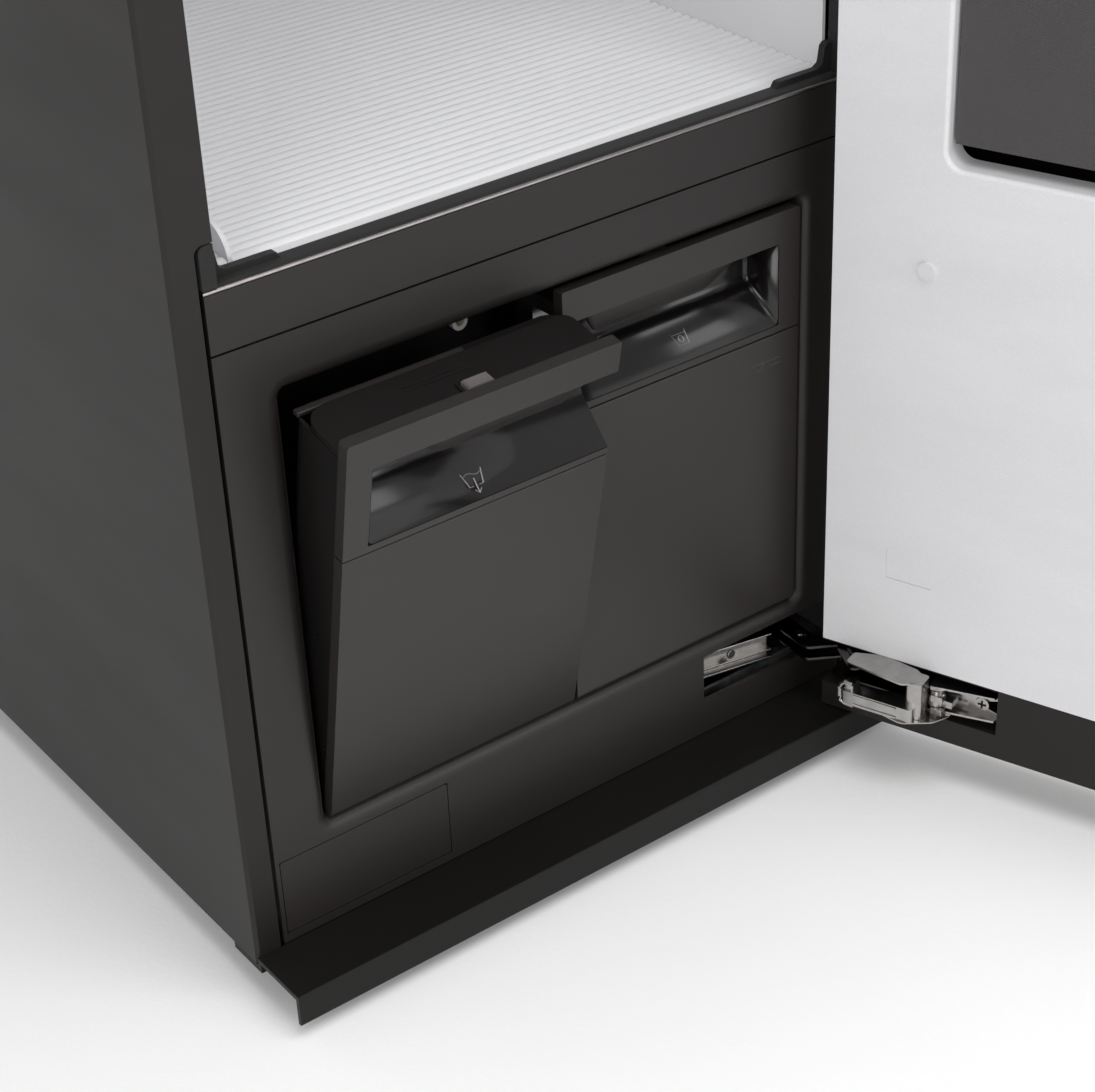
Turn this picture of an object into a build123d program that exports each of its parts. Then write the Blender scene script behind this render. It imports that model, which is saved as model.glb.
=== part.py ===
from build123d import *
import os

# A slim garment steam-care cabinet.  X runs to the right, Y to the back, Z up.  The origin is on the
# floor, under the centre of the cabinet.  The door stands open and the drain tank is tilted out.

os.makedirs("parts", exist_ok=True)

# ---- driving dimensions, mm and degrees
WIDTH = 445.0
DEPTH = 540.0
HEIGHT = 1850.0
BASE_Z = 25.0
SHEET = 1.2
WALL = 2.0
FLANGE = 15.3
GROOVE = 2.4
DOOR_GAP = 3.0
DOOR_THICK = 42.0
DOOR_OPEN = 110.0
TANK_TILT = 12.0

HALF = WIDTH / 2
FRONT = -DEPTH / 2
BACK = DEPTH / 2
BEZEL_X = HALF - FLANGE - GROOVE
SILL_TOP = BASE_Z + 5.0

# tanks and the bay that holds them
TANK_LOW = BASE_Z + 73.0
TANK_HIGH = BASE_Z + 332.0
TANK_IN = 1.0
TANK_OUT = 166.8
TANK_DEEP = 52.0
FACE_THICK = 7.4
LEDGE_Z = BASE_Z + 258.5
LID_Z = TANK_HIGH - 9.0
ROLL = 6.0
BAY_X = 168.8
BAY_TOP = BASE_Z + 334.0
BAY_DEEP = 66.0

# crossbar, chamber and head
BAR_LOW = BASE_Z + 366.3
BAR_TOP = BASE_Z + 399.0
FLOOR_Z = BAR_TOP
CHAMBER_X = 196.7
CHAMBER_BACK = BACK - 34.0
CEILING_Z = 1762.0
HEAD_LOW = 1786.0
NOTCH_Z = BAR_TOP + 24.0
NOTCH_R = 5.0
SHELL_TOP = HEIGHT - 12.0

# the door stands on two link hinges, one low and one high
DOOR_LOW = SILL_TOP + 1.2
DOOR_TOP = HEIGHT - 3.0
ARM_PIVOT = (170.0, FRONT + 52.0)
DOOR_PIVOT = (213.3, FRONT - 16.2)
LINK_SWING = 21.0
HINGE_LOW_Z = BASE_Z + 38.0
HINGE_HIGH_Z = HEAD_LOW + 28.0
PIN_R = 3.0
FIT = 0.05
WINDOW_X = (95.4, 202.0)
WINDOW_UNDER = 9.5
WINDOW_OVER_LOW, WINDOW_OVER_HIGH = 23.0, 15.0

COVER_X = (-202.3, -92.0)
COVER_Z = (BASE_Z + 11.0, BASE_Z + 60.0)


# ---- placing frames
def turned(x, y, angle):
    return Pos(x, y, 0) * Rot(0, 0, angle) * Pos(-x, -y, 0)


CABINET = Location((0, 0, 0))
LINK = turned(ARM_PIVOT[0], ARM_PIVOT[1], -LINK_SWING)
DOOR = LINK * turned(DOOR_PIVOT[0], DOOR_PIVOT[1], DOOR_OPEN + LINK_SWING)
ROLL_AXIS = (FRONT + ROLL, TANK_LOW + ROLL)
TILTED = Pos(0, *ROLL_AXIS) * Rot(TANK_TILT, 0, 0) * Pos(0, -ROLL_AXIS[0], -ROLL_AXIS[1])


def block(x, y, z, frame=CABINET, mode=Mode.ADD):
    """A box from its three ranges, in the frame of the cabinet, the door, a link or a tank."""
    middle = Pos((x[0] + x[1]) / 2, (y[0] + y[1]) / 2, (z[0] + z[1]) / 2)
    with Locations(frame * middle):
        Box(x[1] - x[0], y[1] - y[0], z[1] - z[0], mode=mode)


def rod(x, y, z, radius, axis="Z", frame=CABINET, mode=Mode.ADD):
    """A cylinder along one axis; the range is given on that axis and the centre on the other two."""
    if axis == "Z":
        place, length = Pos(x, y, (z[0] + z[1]) / 2), z[1] - z[0]
    elif axis == "Y":
        place, length = Pos(x, (y[0] + y[1]) / 2, z) * Rot(90, 0, 0), y[1] - y[0]
    else:
        place, length = Pos((x[0] + x[1]) / 2, y, z) * Rot(0, 90, 0), x[1] - x[0]
    with Locations(frame * place):
        Cylinder(radius, length, mode=mode)


def level(z, frame=CABINET):
    """A sketching plane at height z, with its own X and Y along those of the frame."""
    return Plane(frame * Location((0, 0, z)))


def side(x, frame=CABINET):
    """A sketching plane at x, with its own X along the frame's Y and its own Y along Z."""
    return Plane(frame * Plane(origin=(x, 0, 0), x_dir=(0, 1, 0), z_dir=(1, 0, 0)).location)


def face_on(y, frame=CABINET):
    """A sketching plane at y that looks at the front, with its own Y along Z."""
    return Plane(frame * Plane(origin=(0, y, 0), x_dir=(1, 0, 0), z_dir=(0, -1, 0)).location)


def centre_in(edge, frame):
    """The centre of an edge in the coordinates of a frame."""
    return (frame.inverse() * Pos(*edge.center())).position


def finish(piece, label):
    piece.part.label = label
    export_step(piece.part, f"parts/{label}.step")


# ---- outer casing
def side_panel(sign, label):
    """A folded steel side. Its front flange is wider beside the chamber, above a notch for the gasket's corner."""
    inner = HALF - FLANGE
    with BuildPart() as panel:
        block((inner, HALF), (FRONT, BACK), (BASE_Z, SHELL_TOP))
        front_edge = panel.edges().filter_by(Axis.Z).group_by(Axis.Y)[0].sort_by(Axis.X)[-1]
        chamfer(front_edge, 2.0)
        block((inner + SHEET, HALF - SHEET), (FRONT + SHEET, BACK - SHEET), (BASE_Z, SHELL_TOP),
              mode=Mode.SUBTRACT)
        block((inner, inner + SHEET), (FRONT + FLANGE, BACK - SHEET), (BASE_Z, SHELL_TOP),
              mode=Mode.SUBTRACT)
        with BuildSketch(face_on(FRONT)):
            with BuildLine():
                Polyline((inner + SHEET / 2, NOTCH_Z - NOTCH_R), (inner, NOTCH_Z - NOTCH_R))
                RadiusArc((inner, NOTCH_Z - NOTCH_R), (inner - NOTCH_R, NOTCH_Z), -NOTCH_R)
                Polyline((inner - NOTCH_R, NOTCH_Z), (CHAMBER_X + 0.2, NOTCH_Z), (CHAMBER_X + 0.2, HEAD_LOW - 0.4),
                         (inner + SHEET / 2, HEAD_LOW - 0.4), (inner + SHEET / 2, NOTCH_Z - NOTCH_R))
            make_face()
        extrude(amount=-SHEET)
        if sign < 0:
            mirror(about=Plane.YZ, mode=Mode.REPLACE)
    finish(panel, label)


side_panel(-1, "side_panel_left")
side_panel(1, "side_panel_right")

REAR_X = HALF - FLANGE - 1.0
VENT_LENGTH, VENT_WIDE, VENT_PITCH = 90.0, 5.0, 14.0
INLET_X, INLET_Z = -120.0, 110.0
with BuildPart() as rear_panel:
    block((-REAR_X, REAR_X), (BACK - 8.0, BACK - 8.0 + SHEET), (BASE_Z + 4.0, SHELL_TOP))
    with BuildSketch(face_on(BACK - 8.0 + SHEET)):
        with Locations((90, 200)):
            with GridLocations(VENT_LENGTH + 20, VENT_PITCH, 2, 9):
                SlotOverall(VENT_LENGTH, VENT_WIDE)
        with Locations((INLET_X, INLET_Z)):
            Circle(11)
    extrude(amount=4 * SHEET, both=True, mode=Mode.SUBTRACT)
finish(rear_panel, "rear_panel")

with BuildPart() as top_cover:
    block((-HALF, HALF), (FRONT, BACK), (SHELL_TOP, HEIGHT))
    fillet(top_cover.edges().filter_by(Axis.Z), 4.0)
    fillet(top_cover.faces().sort_by(Axis.Z)[-1].edges(), 2.5)
    block((-HALF + 3, HALF - 3), (FRONT + 3, BACK - 3), (SHELL_TOP, HEIGHT - 3), mode=Mode.SUBTRACT)
finish(top_cover, "top_cover")

FOOT_X, FOOT_Y = HALF - 40.0, BACK - 35.0
FOOT_STUD_R = 5.0
PAN_HIGH = BASE_Z + 26.0
PAN_FLOOR = BASE_Z + 4.0
PAN_FRONT = FRONT + 12.0
with BuildPart() as base_pan:
    block((-BEZEL_X, BEZEL_X), (PAN_FRONT, BACK - 9), (BASE_Z, PAN_HIGH))
    block((-BEZEL_X + WALL, BEZEL_X - WALL), (PAN_FRONT + WALL, BACK - 9 - WALL), (PAN_FLOOR, PAN_HIGH),
          mode=Mode.SUBTRACT)
    with Locations((0, 0, PAN_FLOOR + 8)):
        with GridLocations(2 * FOOT_X, 2 * FOOT_Y, 2, 2):
            Cylinder(13, 16)
    with BuildSketch(level(BASE_Z)):
        with GridLocations(2 * FOOT_X, 2 * FOOT_Y, 2, 2):
            Circle(FOOT_STUD_R + FIT)
    extrude(amount=60, mode=Mode.SUBTRACT)
finish(base_pan, "base_pan")

SILL_FRONT = FRONT - 42.0
SILL_BACK = FRONT + 25.0
SILL_LOW = BASE_Z - 15.0
SILL_THICK = 3.0
with BuildPart() as front_sill:
    with BuildSketch(side(-HALF)):
        with BuildLine():
            Polyline(
                (FRONT - 0.2, BASE_Z - 4), (SILL_BACK, BASE_Z - 4), (SILL_BACK, BASE_Z),
                (FRONT - 0.2, BASE_Z), (FRONT - 0.2, SILL_TOP), (SILL_FRONT, SILL_TOP),
                (SILL_FRONT, SILL_LOW), (SILL_FRONT + SILL_THICK, SILL_LOW),
                (SILL_FRONT + SILL_THICK, SILL_TOP - SILL_THICK), (FRONT - 0.2 - SILL_THICK, SILL_TOP - SILL_THICK),
                (FRONT - 0.2 - SILL_THICK, BASE_Z - 4), close=True)
        make_face()
    extrude(amount=WIDTH)
    lip = front_sill.edges().filter_by(Axis.X).group_by(Axis.Y)[0]
    fillet(lip, 1.2)
finish(front_sill, "front_sill")

with BuildPart() as header_bar:
    block((-BEZEL_X, BEZEL_X), (FRONT, FRONT + 34), (HEAD_LOW, SHELL_TOP - 0.4))
    block((-BEZEL_X + WALL, BEZEL_X - WALL), (FRONT + 3, FRONT + 34), (HEAD_LOW + WALL, SHELL_TOP - WALL),
          mode=Mode.SUBTRACT)
    block(WINDOW_X, (FRONT - 1, FRONT + 5), (HINGE_HIGH_Z - WINDOW_UNDER, HINGE_HIGH_Z + WINDOW_OVER_HIGH),
          mode=Mode.SUBTRACT)
finish(header_bar, "header_bar")


# ---- front of the lower compartment
BEZEL_DEEP = 12.0
SCOOP_R = 9.0
with BuildPart() as tank_bezel:
    block((-BEZEL_X, BEZEL_X), (FRONT, FRONT + BEZEL_DEEP), (SILL_TOP + 0.4, BAR_LOW - 1.2))
    block((-BEZEL_X + WALL, BEZEL_X - WALL), (FRONT + 3, FRONT + BEZEL_DEEP),
          (SILL_TOP + 0.4 + WALL, BAR_LOW - 1.2 - WALL), mode=Mode.SUBTRACT)
    block((-BAY_X - WALL, BAY_X + WALL), (FRONT, FRONT + BEZEL_DEEP), (TANK_LOW - 1.2 - WALL, BAR_LOW - 3.2))
    with BuildSketch(face_on(FRONT)):
        with Locations((0, (TANK_LOW - 1.2 + BAY_TOP) / 2)):
            RectangleRounded(2 * BAY_X, BAY_TOP - TANK_LOW + 1.2, 4.0)
    extrude(amount=-BEZEL_DEEP, mode=Mode.SUBTRACT)
    top_lip = tank_bezel.edges().filter_by(Axis.X).group_by(Axis.Y)[0].sort_by(
        lambda e: abs(e.center().Z - BAY_TOP))[0]
    fillet(top_lip, SCOOP_R)
    block(COVER_X, (FRONT - 1, FRONT + 5), COVER_Z, mode=Mode.SUBTRACT)
    block(WINDOW_X, (FRONT - 1, FRONT + 5), (HINGE_LOW_Z - WINDOW_UNDER, HINGE_LOW_Z + WINDOW_OVER_LOW),
          mode=Mode.SUBTRACT)
finish(tank_bezel, "tank_bezel")

PORT_X = 22.0
PORT_Z = BASE_Z + 300.0
BAY_BACK = FRONT + BAY_DEEP
with BuildPart() as tank_bay:
    block((-BAY_X - WALL, BAY_X + WALL), (FRONT + BEZEL_DEEP, BAY_BACK + WALL),
          (TANK_LOW - 1.2 - WALL, BAY_TOP + 10 + WALL))
    block((-BAY_X, BAY_X), (FRONT + BEZEL_DEEP, BAY_BACK), (TANK_LOW - 1.2, BAY_TOP + 10), mode=Mode.SUBTRACT)
    with BuildSketch(face_on(BAY_BACK)):
        with Locations((-PORT_X, PORT_Z), (PORT_X, PORT_Z)):
            Circle(5.0)
    extrude(amount=-2 * WALL, mode=Mode.SUBTRACT)
finish(tank_bay, "tank_bay")

with BuildPart() as dock_ports:
    for port in (-PORT_X, PORT_X):
        rod(port, (BAY_BACK - 4, BAY_BACK + 24), PORT_Z, 5.0, "Y")
        rod(port, (BAY_BACK - 4, BAY_BACK + 24), PORT_Z, 2.6, "Y", mode=Mode.SUBTRACT)
        rod(port, (BAY_BACK + WALL, BAY_BACK + WALL + 4), PORT_Z, 9.0, "Y")
        rod(port, (BAY_BACK + WALL, BAY_BACK + WALL + 4), PORT_Z, 2.6, "Y", mode=Mode.SUBTRACT)
finish(dock_ports, "dock_ports")

with BuildPart() as service_cover:
    gap = 0.5
    block((COVER_X[0] + gap, COVER_X[1] - gap), (FRONT, FRONT + 3), (COVER_Z[0] + gap, COVER_Z[1] - gap))
    fillet(service_cover.edges().filter_by(Axis.Y), 1.5)
    for post in (COVER_X[0] + 18, COVER_X[1] - 18):
        block((post - 4, post + 4), (FRONT + 3, FRONT + 10), (COVER_Z[0] + 20, COVER_Z[0] + 30))
finish(service_cover, "service_cover")

STRIP_HIGH = 2.0
with BuildPart() as crossbar:
    block((-BEZEL_X, BEZEL_X), (FRONT, FRONT + 13), (BAR_LOW, BAR_TOP - STRIP_HIGH))
    block((-BEZEL_X + 3, BEZEL_X - 3), (FRONT + 3, FRONT + 13), (BAR_LOW, BAR_TOP - STRIP_HIGH - 3),
          mode=Mode.SUBTRACT)
finish(crossbar, "crossbar")

with BuildPart() as crossbar_strip:
    block((-BEZEL_X, BEZEL_X), (FRONT, FRONT + 3), (BAR_TOP - STRIP_HIGH, BAR_TOP))
    chamfer(crossbar_strip.edges().filter_by(Axis.X).group_by(Axis.Y)[0].sort_by(Axis.Z)[-1], 1.0)
finish(crossbar_strip, "crossbar_strip")

# ---- chamber
TAB_LONG, TAB_HIGH = 38.0, 3.5
HOOK_LONG, HOOK_HIGH = 9.0, 10.0
SEAL_BACK = FRONT + 13.0
with BuildPart() as door_seal:
    block((-BEZEL_X, BEZEL_X), (FRONT + 3, SEAL_BACK + 1.5), (BAR_TOP - STRIP_HIGH, BAR_TOP + 0.4))
    for sign in (-1, 1):
        upright = sorted((sign * CHAMBER_X, sign * BEZEL_X))
        block(upright, (FRONT + SHEET + 0.3, SEAL_BACK), (BAR_TOP + 0.2, HEAD_LOW - 0.2))
        block(upright, (FRONT, SEAL_BACK), (BAR_TOP + 0.2, NOTCH_Z - NOTCH_R))
        block(sorted((sign * CHAMBER_X, sign * (BEZEL_X - NOTCH_R + 1))), (FRONT, SEAL_BACK),
              (BAR_TOP + 0.2, NOTCH_Z - 1))
        for long, high in ((TAB_LONG, TAB_HIGH), (HOOK_LONG, HOOK_HIGH)):
            block(sorted((sign * (CHAMBER_X - long), sign * CHAMBER_X)), (FRONT + 8, SEAL_BACK + 1.5),
                  (BAR_TOP, BAR_TOP + high))
    block((-CHAMBER_X, CHAMBER_X), (FRONT, SEAL_BACK), (HEAD_LOW - 10, HEAD_LOW - 0.2))
finish(door_seal, "door_seal")

RIB_PITCH = 7.4
RIB_HIGH = 1.8
FLOOR_THICK = 6.0
FLOOR_FRONT = SEAL_BACK + 2.0
RIB_START = FRONT + 21.3
RIB_COUNT = int((CHAMBER_BACK - 60.0 - RIB_START) / RIB_PITCH)
FILTER_X, FILTER_Y, FILTER_THICK = 90.0, CHAMBER_BACK - 34.0, 26.0
FIN_X, FIN_HIGH, FIN_THICK = -CHAMBER_X + 18.0, 16.0, 2.5
with BuildPart() as chamber_floor:
    with BuildSketch(side(-CHAMBER_X + WALL + 0.3)):
        with BuildLine():
            for rib in range(RIB_COUNT):
                start = RIB_START + rib * RIB_PITCH
                ThreePointArc((start, FLOOR_Z), (start + RIB_PITCH / 2, FLOOR_Z + RIB_HIGH),
                              (start + RIB_PITCH, FLOOR_Z))
            Polyline((RIB_START + RIB_COUNT * RIB_PITCH, FLOOR_Z), (CHAMBER_BACK - 0.3, FLOOR_Z),
                     (CHAMBER_BACK - 0.3, FLOOR_Z - FLOOR_THICK), (FLOOR_FRONT, FLOOR_Z - FLOOR_THICK),
                     (FLOOR_FRONT, FLOOR_Z), (RIB_START, FLOOR_Z))
        make_face()
    extrude(amount=2 * (CHAMBER_X - WALL - 0.3))
    block((-FILTER_X - 1, FILTER_X + 1), (FILTER_Y - FILTER_THICK / 2 - 1, FILTER_Y + FILTER_THICK / 2 + 1),
          (FLOOR_Z - 20, FLOOR_Z + 5), mode=Mode.SUBTRACT)
    block((FIN_X - 0.2, FIN_X + FIN_THICK + 0.2), (FLOOR_FRONT + 4, FLOOR_FRONT + 32), (FLOOR_Z, FLOOR_Z + 5),
          mode=Mode.SUBTRACT)
finish(chamber_floor, "chamber_floor")

FILTER_HIGH = 90.0
with BuildPart() as lint_filter:
    block((-FILTER_X, FILTER_X), (FILTER_Y - FILTER_THICK / 2, FILTER_Y + FILTER_THICK / 2),
          (FLOOR_Z - FILTER_HIGH, FLOOR_Z + 2))
    block((-FILTER_X + 3, FILTER_X - 3), (FILTER_Y - FILTER_THICK / 2 + 3, FILTER_Y + FILTER_THICK / 2 - 3),
          (FLOOR_Z - FILTER_HIGH + 3, FLOOR_Z - 2), mode=Mode.SUBTRACT)
    with BuildSketch(face_on(FILTER_Y)):
        with Locations((0, FLOOR_Z - FILTER_HIGH / 2)):
            with GridLocations(22, 24, 7, 3):
                RectangleRounded(17, 19, 2)
    extrude(amount=FILTER_THICK, both=True, mode=Mode.SUBTRACT)
    block((-22, 22), (FILTER_Y - 2, FILTER_Y + 2), (FLOOR_Z + 2, FLOOR_Z + 18))
    fillet(lint_filter.edges().filter_by(Axis.Y).group_by(Axis.Z)[-1], 7)
finish(lint_filter, "lint_filter")

for sign, name in ((-1, "left"), (1, "right")):
    with BuildPart() as chamber_wall:
        inner = sorted((sign * (CHAMBER_X - WALL), sign * CHAMBER_X))
        block(inner, (SEAL_BACK + 2.0, CHAMBER_BACK), (FLOOR_Z - 12, CEILING_Z))
    finish(chamber_wall, f"chamber_wall_{name}")

with BuildPart() as chamber_wall_rear:
    block((-CHAMBER_X, CHAMBER_X), (CHAMBER_BACK, CHAMBER_BACK + WALL), (FLOOR_Z - 12, CEILING_Z))
    with BuildSketch(face_on(CHAMBER_BACK)):
        with Locations((0, FLOOR_Z + 80)):
            with GridLocations(36, 12, 9, 5):
                SlotOverall(28, 5)
    extrude(amount=-3 * WALL, mode=Mode.SUBTRACT)
finish(chamber_wall_rear, "chamber_wall_rear")

SHAKE = 12.0
STEM_R = 6.0
with BuildPart() as chamber_ceiling:
    block((-CHAMBER_X, CHAMBER_X), (FRONT + 13.3, CHAMBER_BACK + WALL), (CEILING_Z + 0.2, CEILING_Z + 3.2))
    with BuildSketch(level(CEILING_Z)):
        SlotOverall(2 * (SHAKE + STEM_R) + 4, 2 * STEM_R + 4)
    extrude(amount=5, mode=Mode.SUBTRACT)
finish(chamber_ceiling, "chamber_ceiling")

# a curved steam outlet fin at the front left of the floor
with BuildPart() as steam_nozzle:
    with BuildSketch(side(FIN_X)):
        with BuildLine():
            ThreePointArc((FLOOR_FRONT + 6, FLOOR_Z), (FLOOR_FRONT + 12, FLOOR_Z + 12),
                          (FLOOR_FRONT + 30, FLOOR_Z + FIN_HIGH))
            Polyline((FLOOR_FRONT + 30, FLOOR_Z + FIN_HIGH), (FLOOR_FRONT + 30, FLOOR_Z), (FLOOR_FRONT + 6, FLOOR_Z))
        make_face()
    extrude(amount=FIN_THICK)
finish(steam_nozzle, "steam_nozzle")

# ---- hanger rail with its shaker drive
RAIL_Z = 1706.0
RAIL_LONG = 360.0
YOKE_Z = CEILING_Z + 12.0
CRANK_R = SHAKE
with BuildPart() as hanger_rail:
    block((-9, 9), (-RAIL_LONG / 2, RAIL_LONG / 2), (RAIL_Z - 6, RAIL_Z + 6))
    fillet(hanger_rail.edges().filter_by(Axis.Y), 4)
    for hook in range(-3, 4):
        if hook:
            block((-10, 10), (hook * 52 - 4, hook * 52 + 4), (RAIL_Z + 2, RAIL_Z + 8), mode=Mode.SUBTRACT)
    rod(0, 0, (RAIL_Z, YOKE_Z), STEM_R)
    block((-11, 11), (-CRANK_R - 9, CRANK_R + 9), (YOKE_Z, YOKE_Z + 4))
    with BuildSketch(level(YOKE_Z)):
        SlotOverall(2 * CRANK_R + 10, 7, rotation=90)
    extrude(amount=5, mode=Mode.SUBTRACT)
finish(hanger_rail, "hanger_rail")

DISC_Z = YOKE_Z + 12.0
MOTOR_Z = DISC_Z + 9.0
with BuildPart() as shaker_crank:
    rod(0, 0, (DISC_Z, DISC_Z + 5), CRANK_R + 5)
    rod(0, CRANK_R, (YOKE_Z + 5.5, DISC_Z), 3.0)
    rod(0, 0, (DISC_Z, MOTOR_Z + 12), 4.0)
finish(shaker_crank, "shaker_crank")

with BuildPart() as shaker_motor:
    rod(0, 0, (MOTOR_Z, MOTOR_Z + 22), 27.0)
    block((-70, 70), (-30, 30), (MOTOR_Z, MOTOR_Z + 3))
    for sign in (-1, 1):
        leg = sorted((sign * 67, sign * 70))
        block(leg, (-30, 30), (CEILING_Z + 3.2, MOTOR_Z + 3))
    rod(0, 0, (MOTOR_Z - 1, MOTOR_Z + 14), 4.0 + FIT, mode=Mode.SUBTRACT)
finish(shaker_motor, "shaker_motor")

# ---- machine compartment
with BuildPart() as compressor:
    rod(-125, 60, (PAN_FLOOR + 12, PAN_FLOOR + 150), 52)
    fillet(compressor.edges().filter_by(GeomType.CIRCLE), 20)
    block((-180, -70), (20, 100), (PAN_FLOOR + 8, PAN_FLOOR + 14))
    for mount_x in (-170, -80):
        for mount_y in (30, 90):
            rod(mount_x, mount_y, (PAN_FLOOR, PAN_FLOOR + 8), 8)
    rod(-125, 60, (PAN_FLOOR + 140, PAN_FLOOR + 170), 5)
finish(compressor, "compressor")


def coil_block(label, y):
    """A finned heat exchanger: plates on two rows of tubes between end sheets."""
    fins = 36
    low, high = FLOOR_Z - 190.0, FLOOR_Z - 60.0
    with BuildPart() as coil:
        for row in range(5):
            for column in (-9, 9):
                rod((-128, 128), y + column, low + 16 + row * 25, 4.5, "X")
        block((-120, -118), (y - 19, y + 19), (low, high))
        block((118, 120), (y - 19, y + 19), (low, high))
        with Locations((0, y, (low + high) / 2)):
            with GridLocations(6.4, 1, fins, 1):
                Box(1.0, 38, high - low - 6)
    finish(coil, label)


coil_block("condenser", -60.0)
coil_block("evaporator", -120.0)

FAN_X, FAN_Y, FAN_Z = 70.0, 60.0, 205.0
SCROLL_R, SCROLL_WIDE = 84.0, 70.0
WHEEL_R, WHEEL_WIDE = 66.0, 52.0
AXLE_R = 4.0
with BuildPart() as blower_housing:
    half_wide = SCROLL_WIDE / 2
    rod((FAN_X - half_wide, FAN_X + half_wide), FAN_Y, FAN_Z, SCROLL_R, "X")
    block((FAN_X - half_wide, FAN_X + half_wide), (FAN_Y, FAN_Y + SCROLL_R), (FAN_Z, FLOOR_Z - 14))
    rod((FAN_X - half_wide + WALL, FAN_X + half_wide - WALL), FAN_Y, FAN_Z, SCROLL_R - WALL, "X",
        mode=Mode.SUBTRACT)
    block((FAN_X - half_wide + WALL, FAN_X + half_wide - WALL), (FAN_Y + WALL, FAN_Y + SCROLL_R - WALL),
          (FAN_Z, FLOOR_Z - 14), mode=Mode.SUBTRACT)
    rod((FAN_X - half_wide - 1, FAN_X - half_wide + 5), FAN_Y, FAN_Z, 44, "X", mode=Mode.SUBTRACT)
    rod((FAN_X + half_wide, FAN_X + half_wide + 34), FAN_Y, FAN_Z, 30, "X")
    rod((FAN_X + half_wide - 5, FAN_X + half_wide + 20), FAN_Y, FAN_Z, AXLE_R + FIT, "X", mode=Mode.SUBTRACT)
    block((FAN_X - 30, FAN_X + 30), (FAN_Y - 50, FAN_Y + 50), (PAN_FLOOR, PAN_FLOOR + 5))
    for sign in (-1, 1):
        leg_y = FAN_Y + sign * 40
        block((FAN_X - 30, FAN_X + 30), (leg_y - 3, leg_y + 3), (PAN_FLOOR, FAN_Z - SCROLL_R + 13))
finish(blower_housing, "blower_housing")

BLADES = 28
with BuildPart() as blower_wheel:
    half_wheel = WHEEL_WIDE / 2
    rod((FAN_X + half_wheel - 3, FAN_X + half_wheel), FAN_Y, FAN_Z, WHEEL_R, "X")
    for ring in (-half_wheel, half_wheel - 3):
        rod((FAN_X + ring, FAN_X + ring + 3), FAN_Y, FAN_Z, WHEEL_R, "X")
    rod((FAN_X - half_wheel, FAN_X + half_wheel - 3), FAN_Y, FAN_Z, WHEEL_R - 12, "X", mode=Mode.SUBTRACT)
    with BuildSketch(side(FAN_X - half_wheel)):
        with Locations((FAN_Y, FAN_Z)):
            with PolarLocations(WHEEL_R - 6.5, BLADES):
                Rectangle(12, 1.6)
    extrude(amount=WHEEL_WIDE)
    rod((FAN_X + half_wheel - 20, FAN_X + half_wheel), FAN_Y, FAN_Z, 12, "X")
    rod((FAN_X, FAN_X + SCROLL_WIDE / 2 + 18), FAN_Y, FAN_Z, AXLE_R, "X")
finish(blower_wheel, "blower_wheel")

with BuildPart() as steam_generator:
    block((-60, 20), (150, 225), (PAN_FLOOR, PAN_FLOOR + 120))
    fillet(steam_generator.edges().filter_by(Axis.Z), 10)
    rod(-20, 187, (PAN_FLOOR + 120, PAN_FLOOR + 140), 9)
    rod(-20, 187, (PAN_FLOOR + 120, PAN_FLOOR + 260), 6)
    rod(-50, (140, 152), PAN_FLOOR + 20, 6, "Y")
finish(steam_generator, "steam_generator")

with BuildPart() as water_pumps:
    for pump_x in (-40, 60):
        rod((pump_x, pump_x + 58), -165, PAN_FLOOR + 26, 17, "X")
        block((pump_x + 6, pump_x + 52), (-183, -147), (PAN_FLOOR, PAN_FLOOR + 12))
        rod(pump_x + 12, -165, (PAN_FLOOR + 36, PAN_FLOOR + 54), 5)
finish(water_pumps, "water_pumps")

with BuildPart() as control_box:
    block((60, 190), (70, 200), (CEILING_Z + 3.2, CEILING_Z + 46))
    fillet(control_box.edges().filter_by(Axis.Z), 5)
    block((56, 194), (66, 204), (CEILING_Z + 42, CEILING_Z + 50))
finish(control_box, "control_box")

with BuildPart() as cord_inlet:
    rod(INLET_X, (BACK - 14, BACK - 8 + SHEET), INLET_Z, 10.8, "Y")
    with BuildSketch(face_on(BACK - 8 + SHEET)):
        with Locations((INLET_X, INLET_Z)):
            RegularPolygon(15, 6)
    extrude(amount=-6)
    rod(INLET_X, (BACK - 30, BACK + 2), INLET_Z, 4.2, "Y", mode=Mode.SUBTRACT)
finish(cord_inlet, "cord_inlet")

for foot_x, across in ((-FOOT_X, "left"), (FOOT_X, "right")):
    for foot_y, along in ((-FOOT_Y, "front"), (FOOT_Y, "rear")):
        with BuildPart() as foot:
            rod(foot_x, foot_y, (0, 9), 19)
            chamfer(foot.edges().filter_by(GeomType.CIRCLE).sort_by(Axis.Z)[-1], 3)
            with BuildSketch(level(9)):
                with Locations((foot_x, foot_y)):
                    RegularPolygon(9, 6)
            extrude(amount=6)
            rod(foot_x, foot_y, (9, PAN_FLOOR + 14), FOOT_STUD_R)
        finish(foot, f"foot_{along}_{across}")


# ---- door hinges
LINK_Z = (1.0, 11.0)
ARM_SLOT_Z = (3.5, 8.5)
BLOCK_Z = (-8.5, -0.5)


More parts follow.
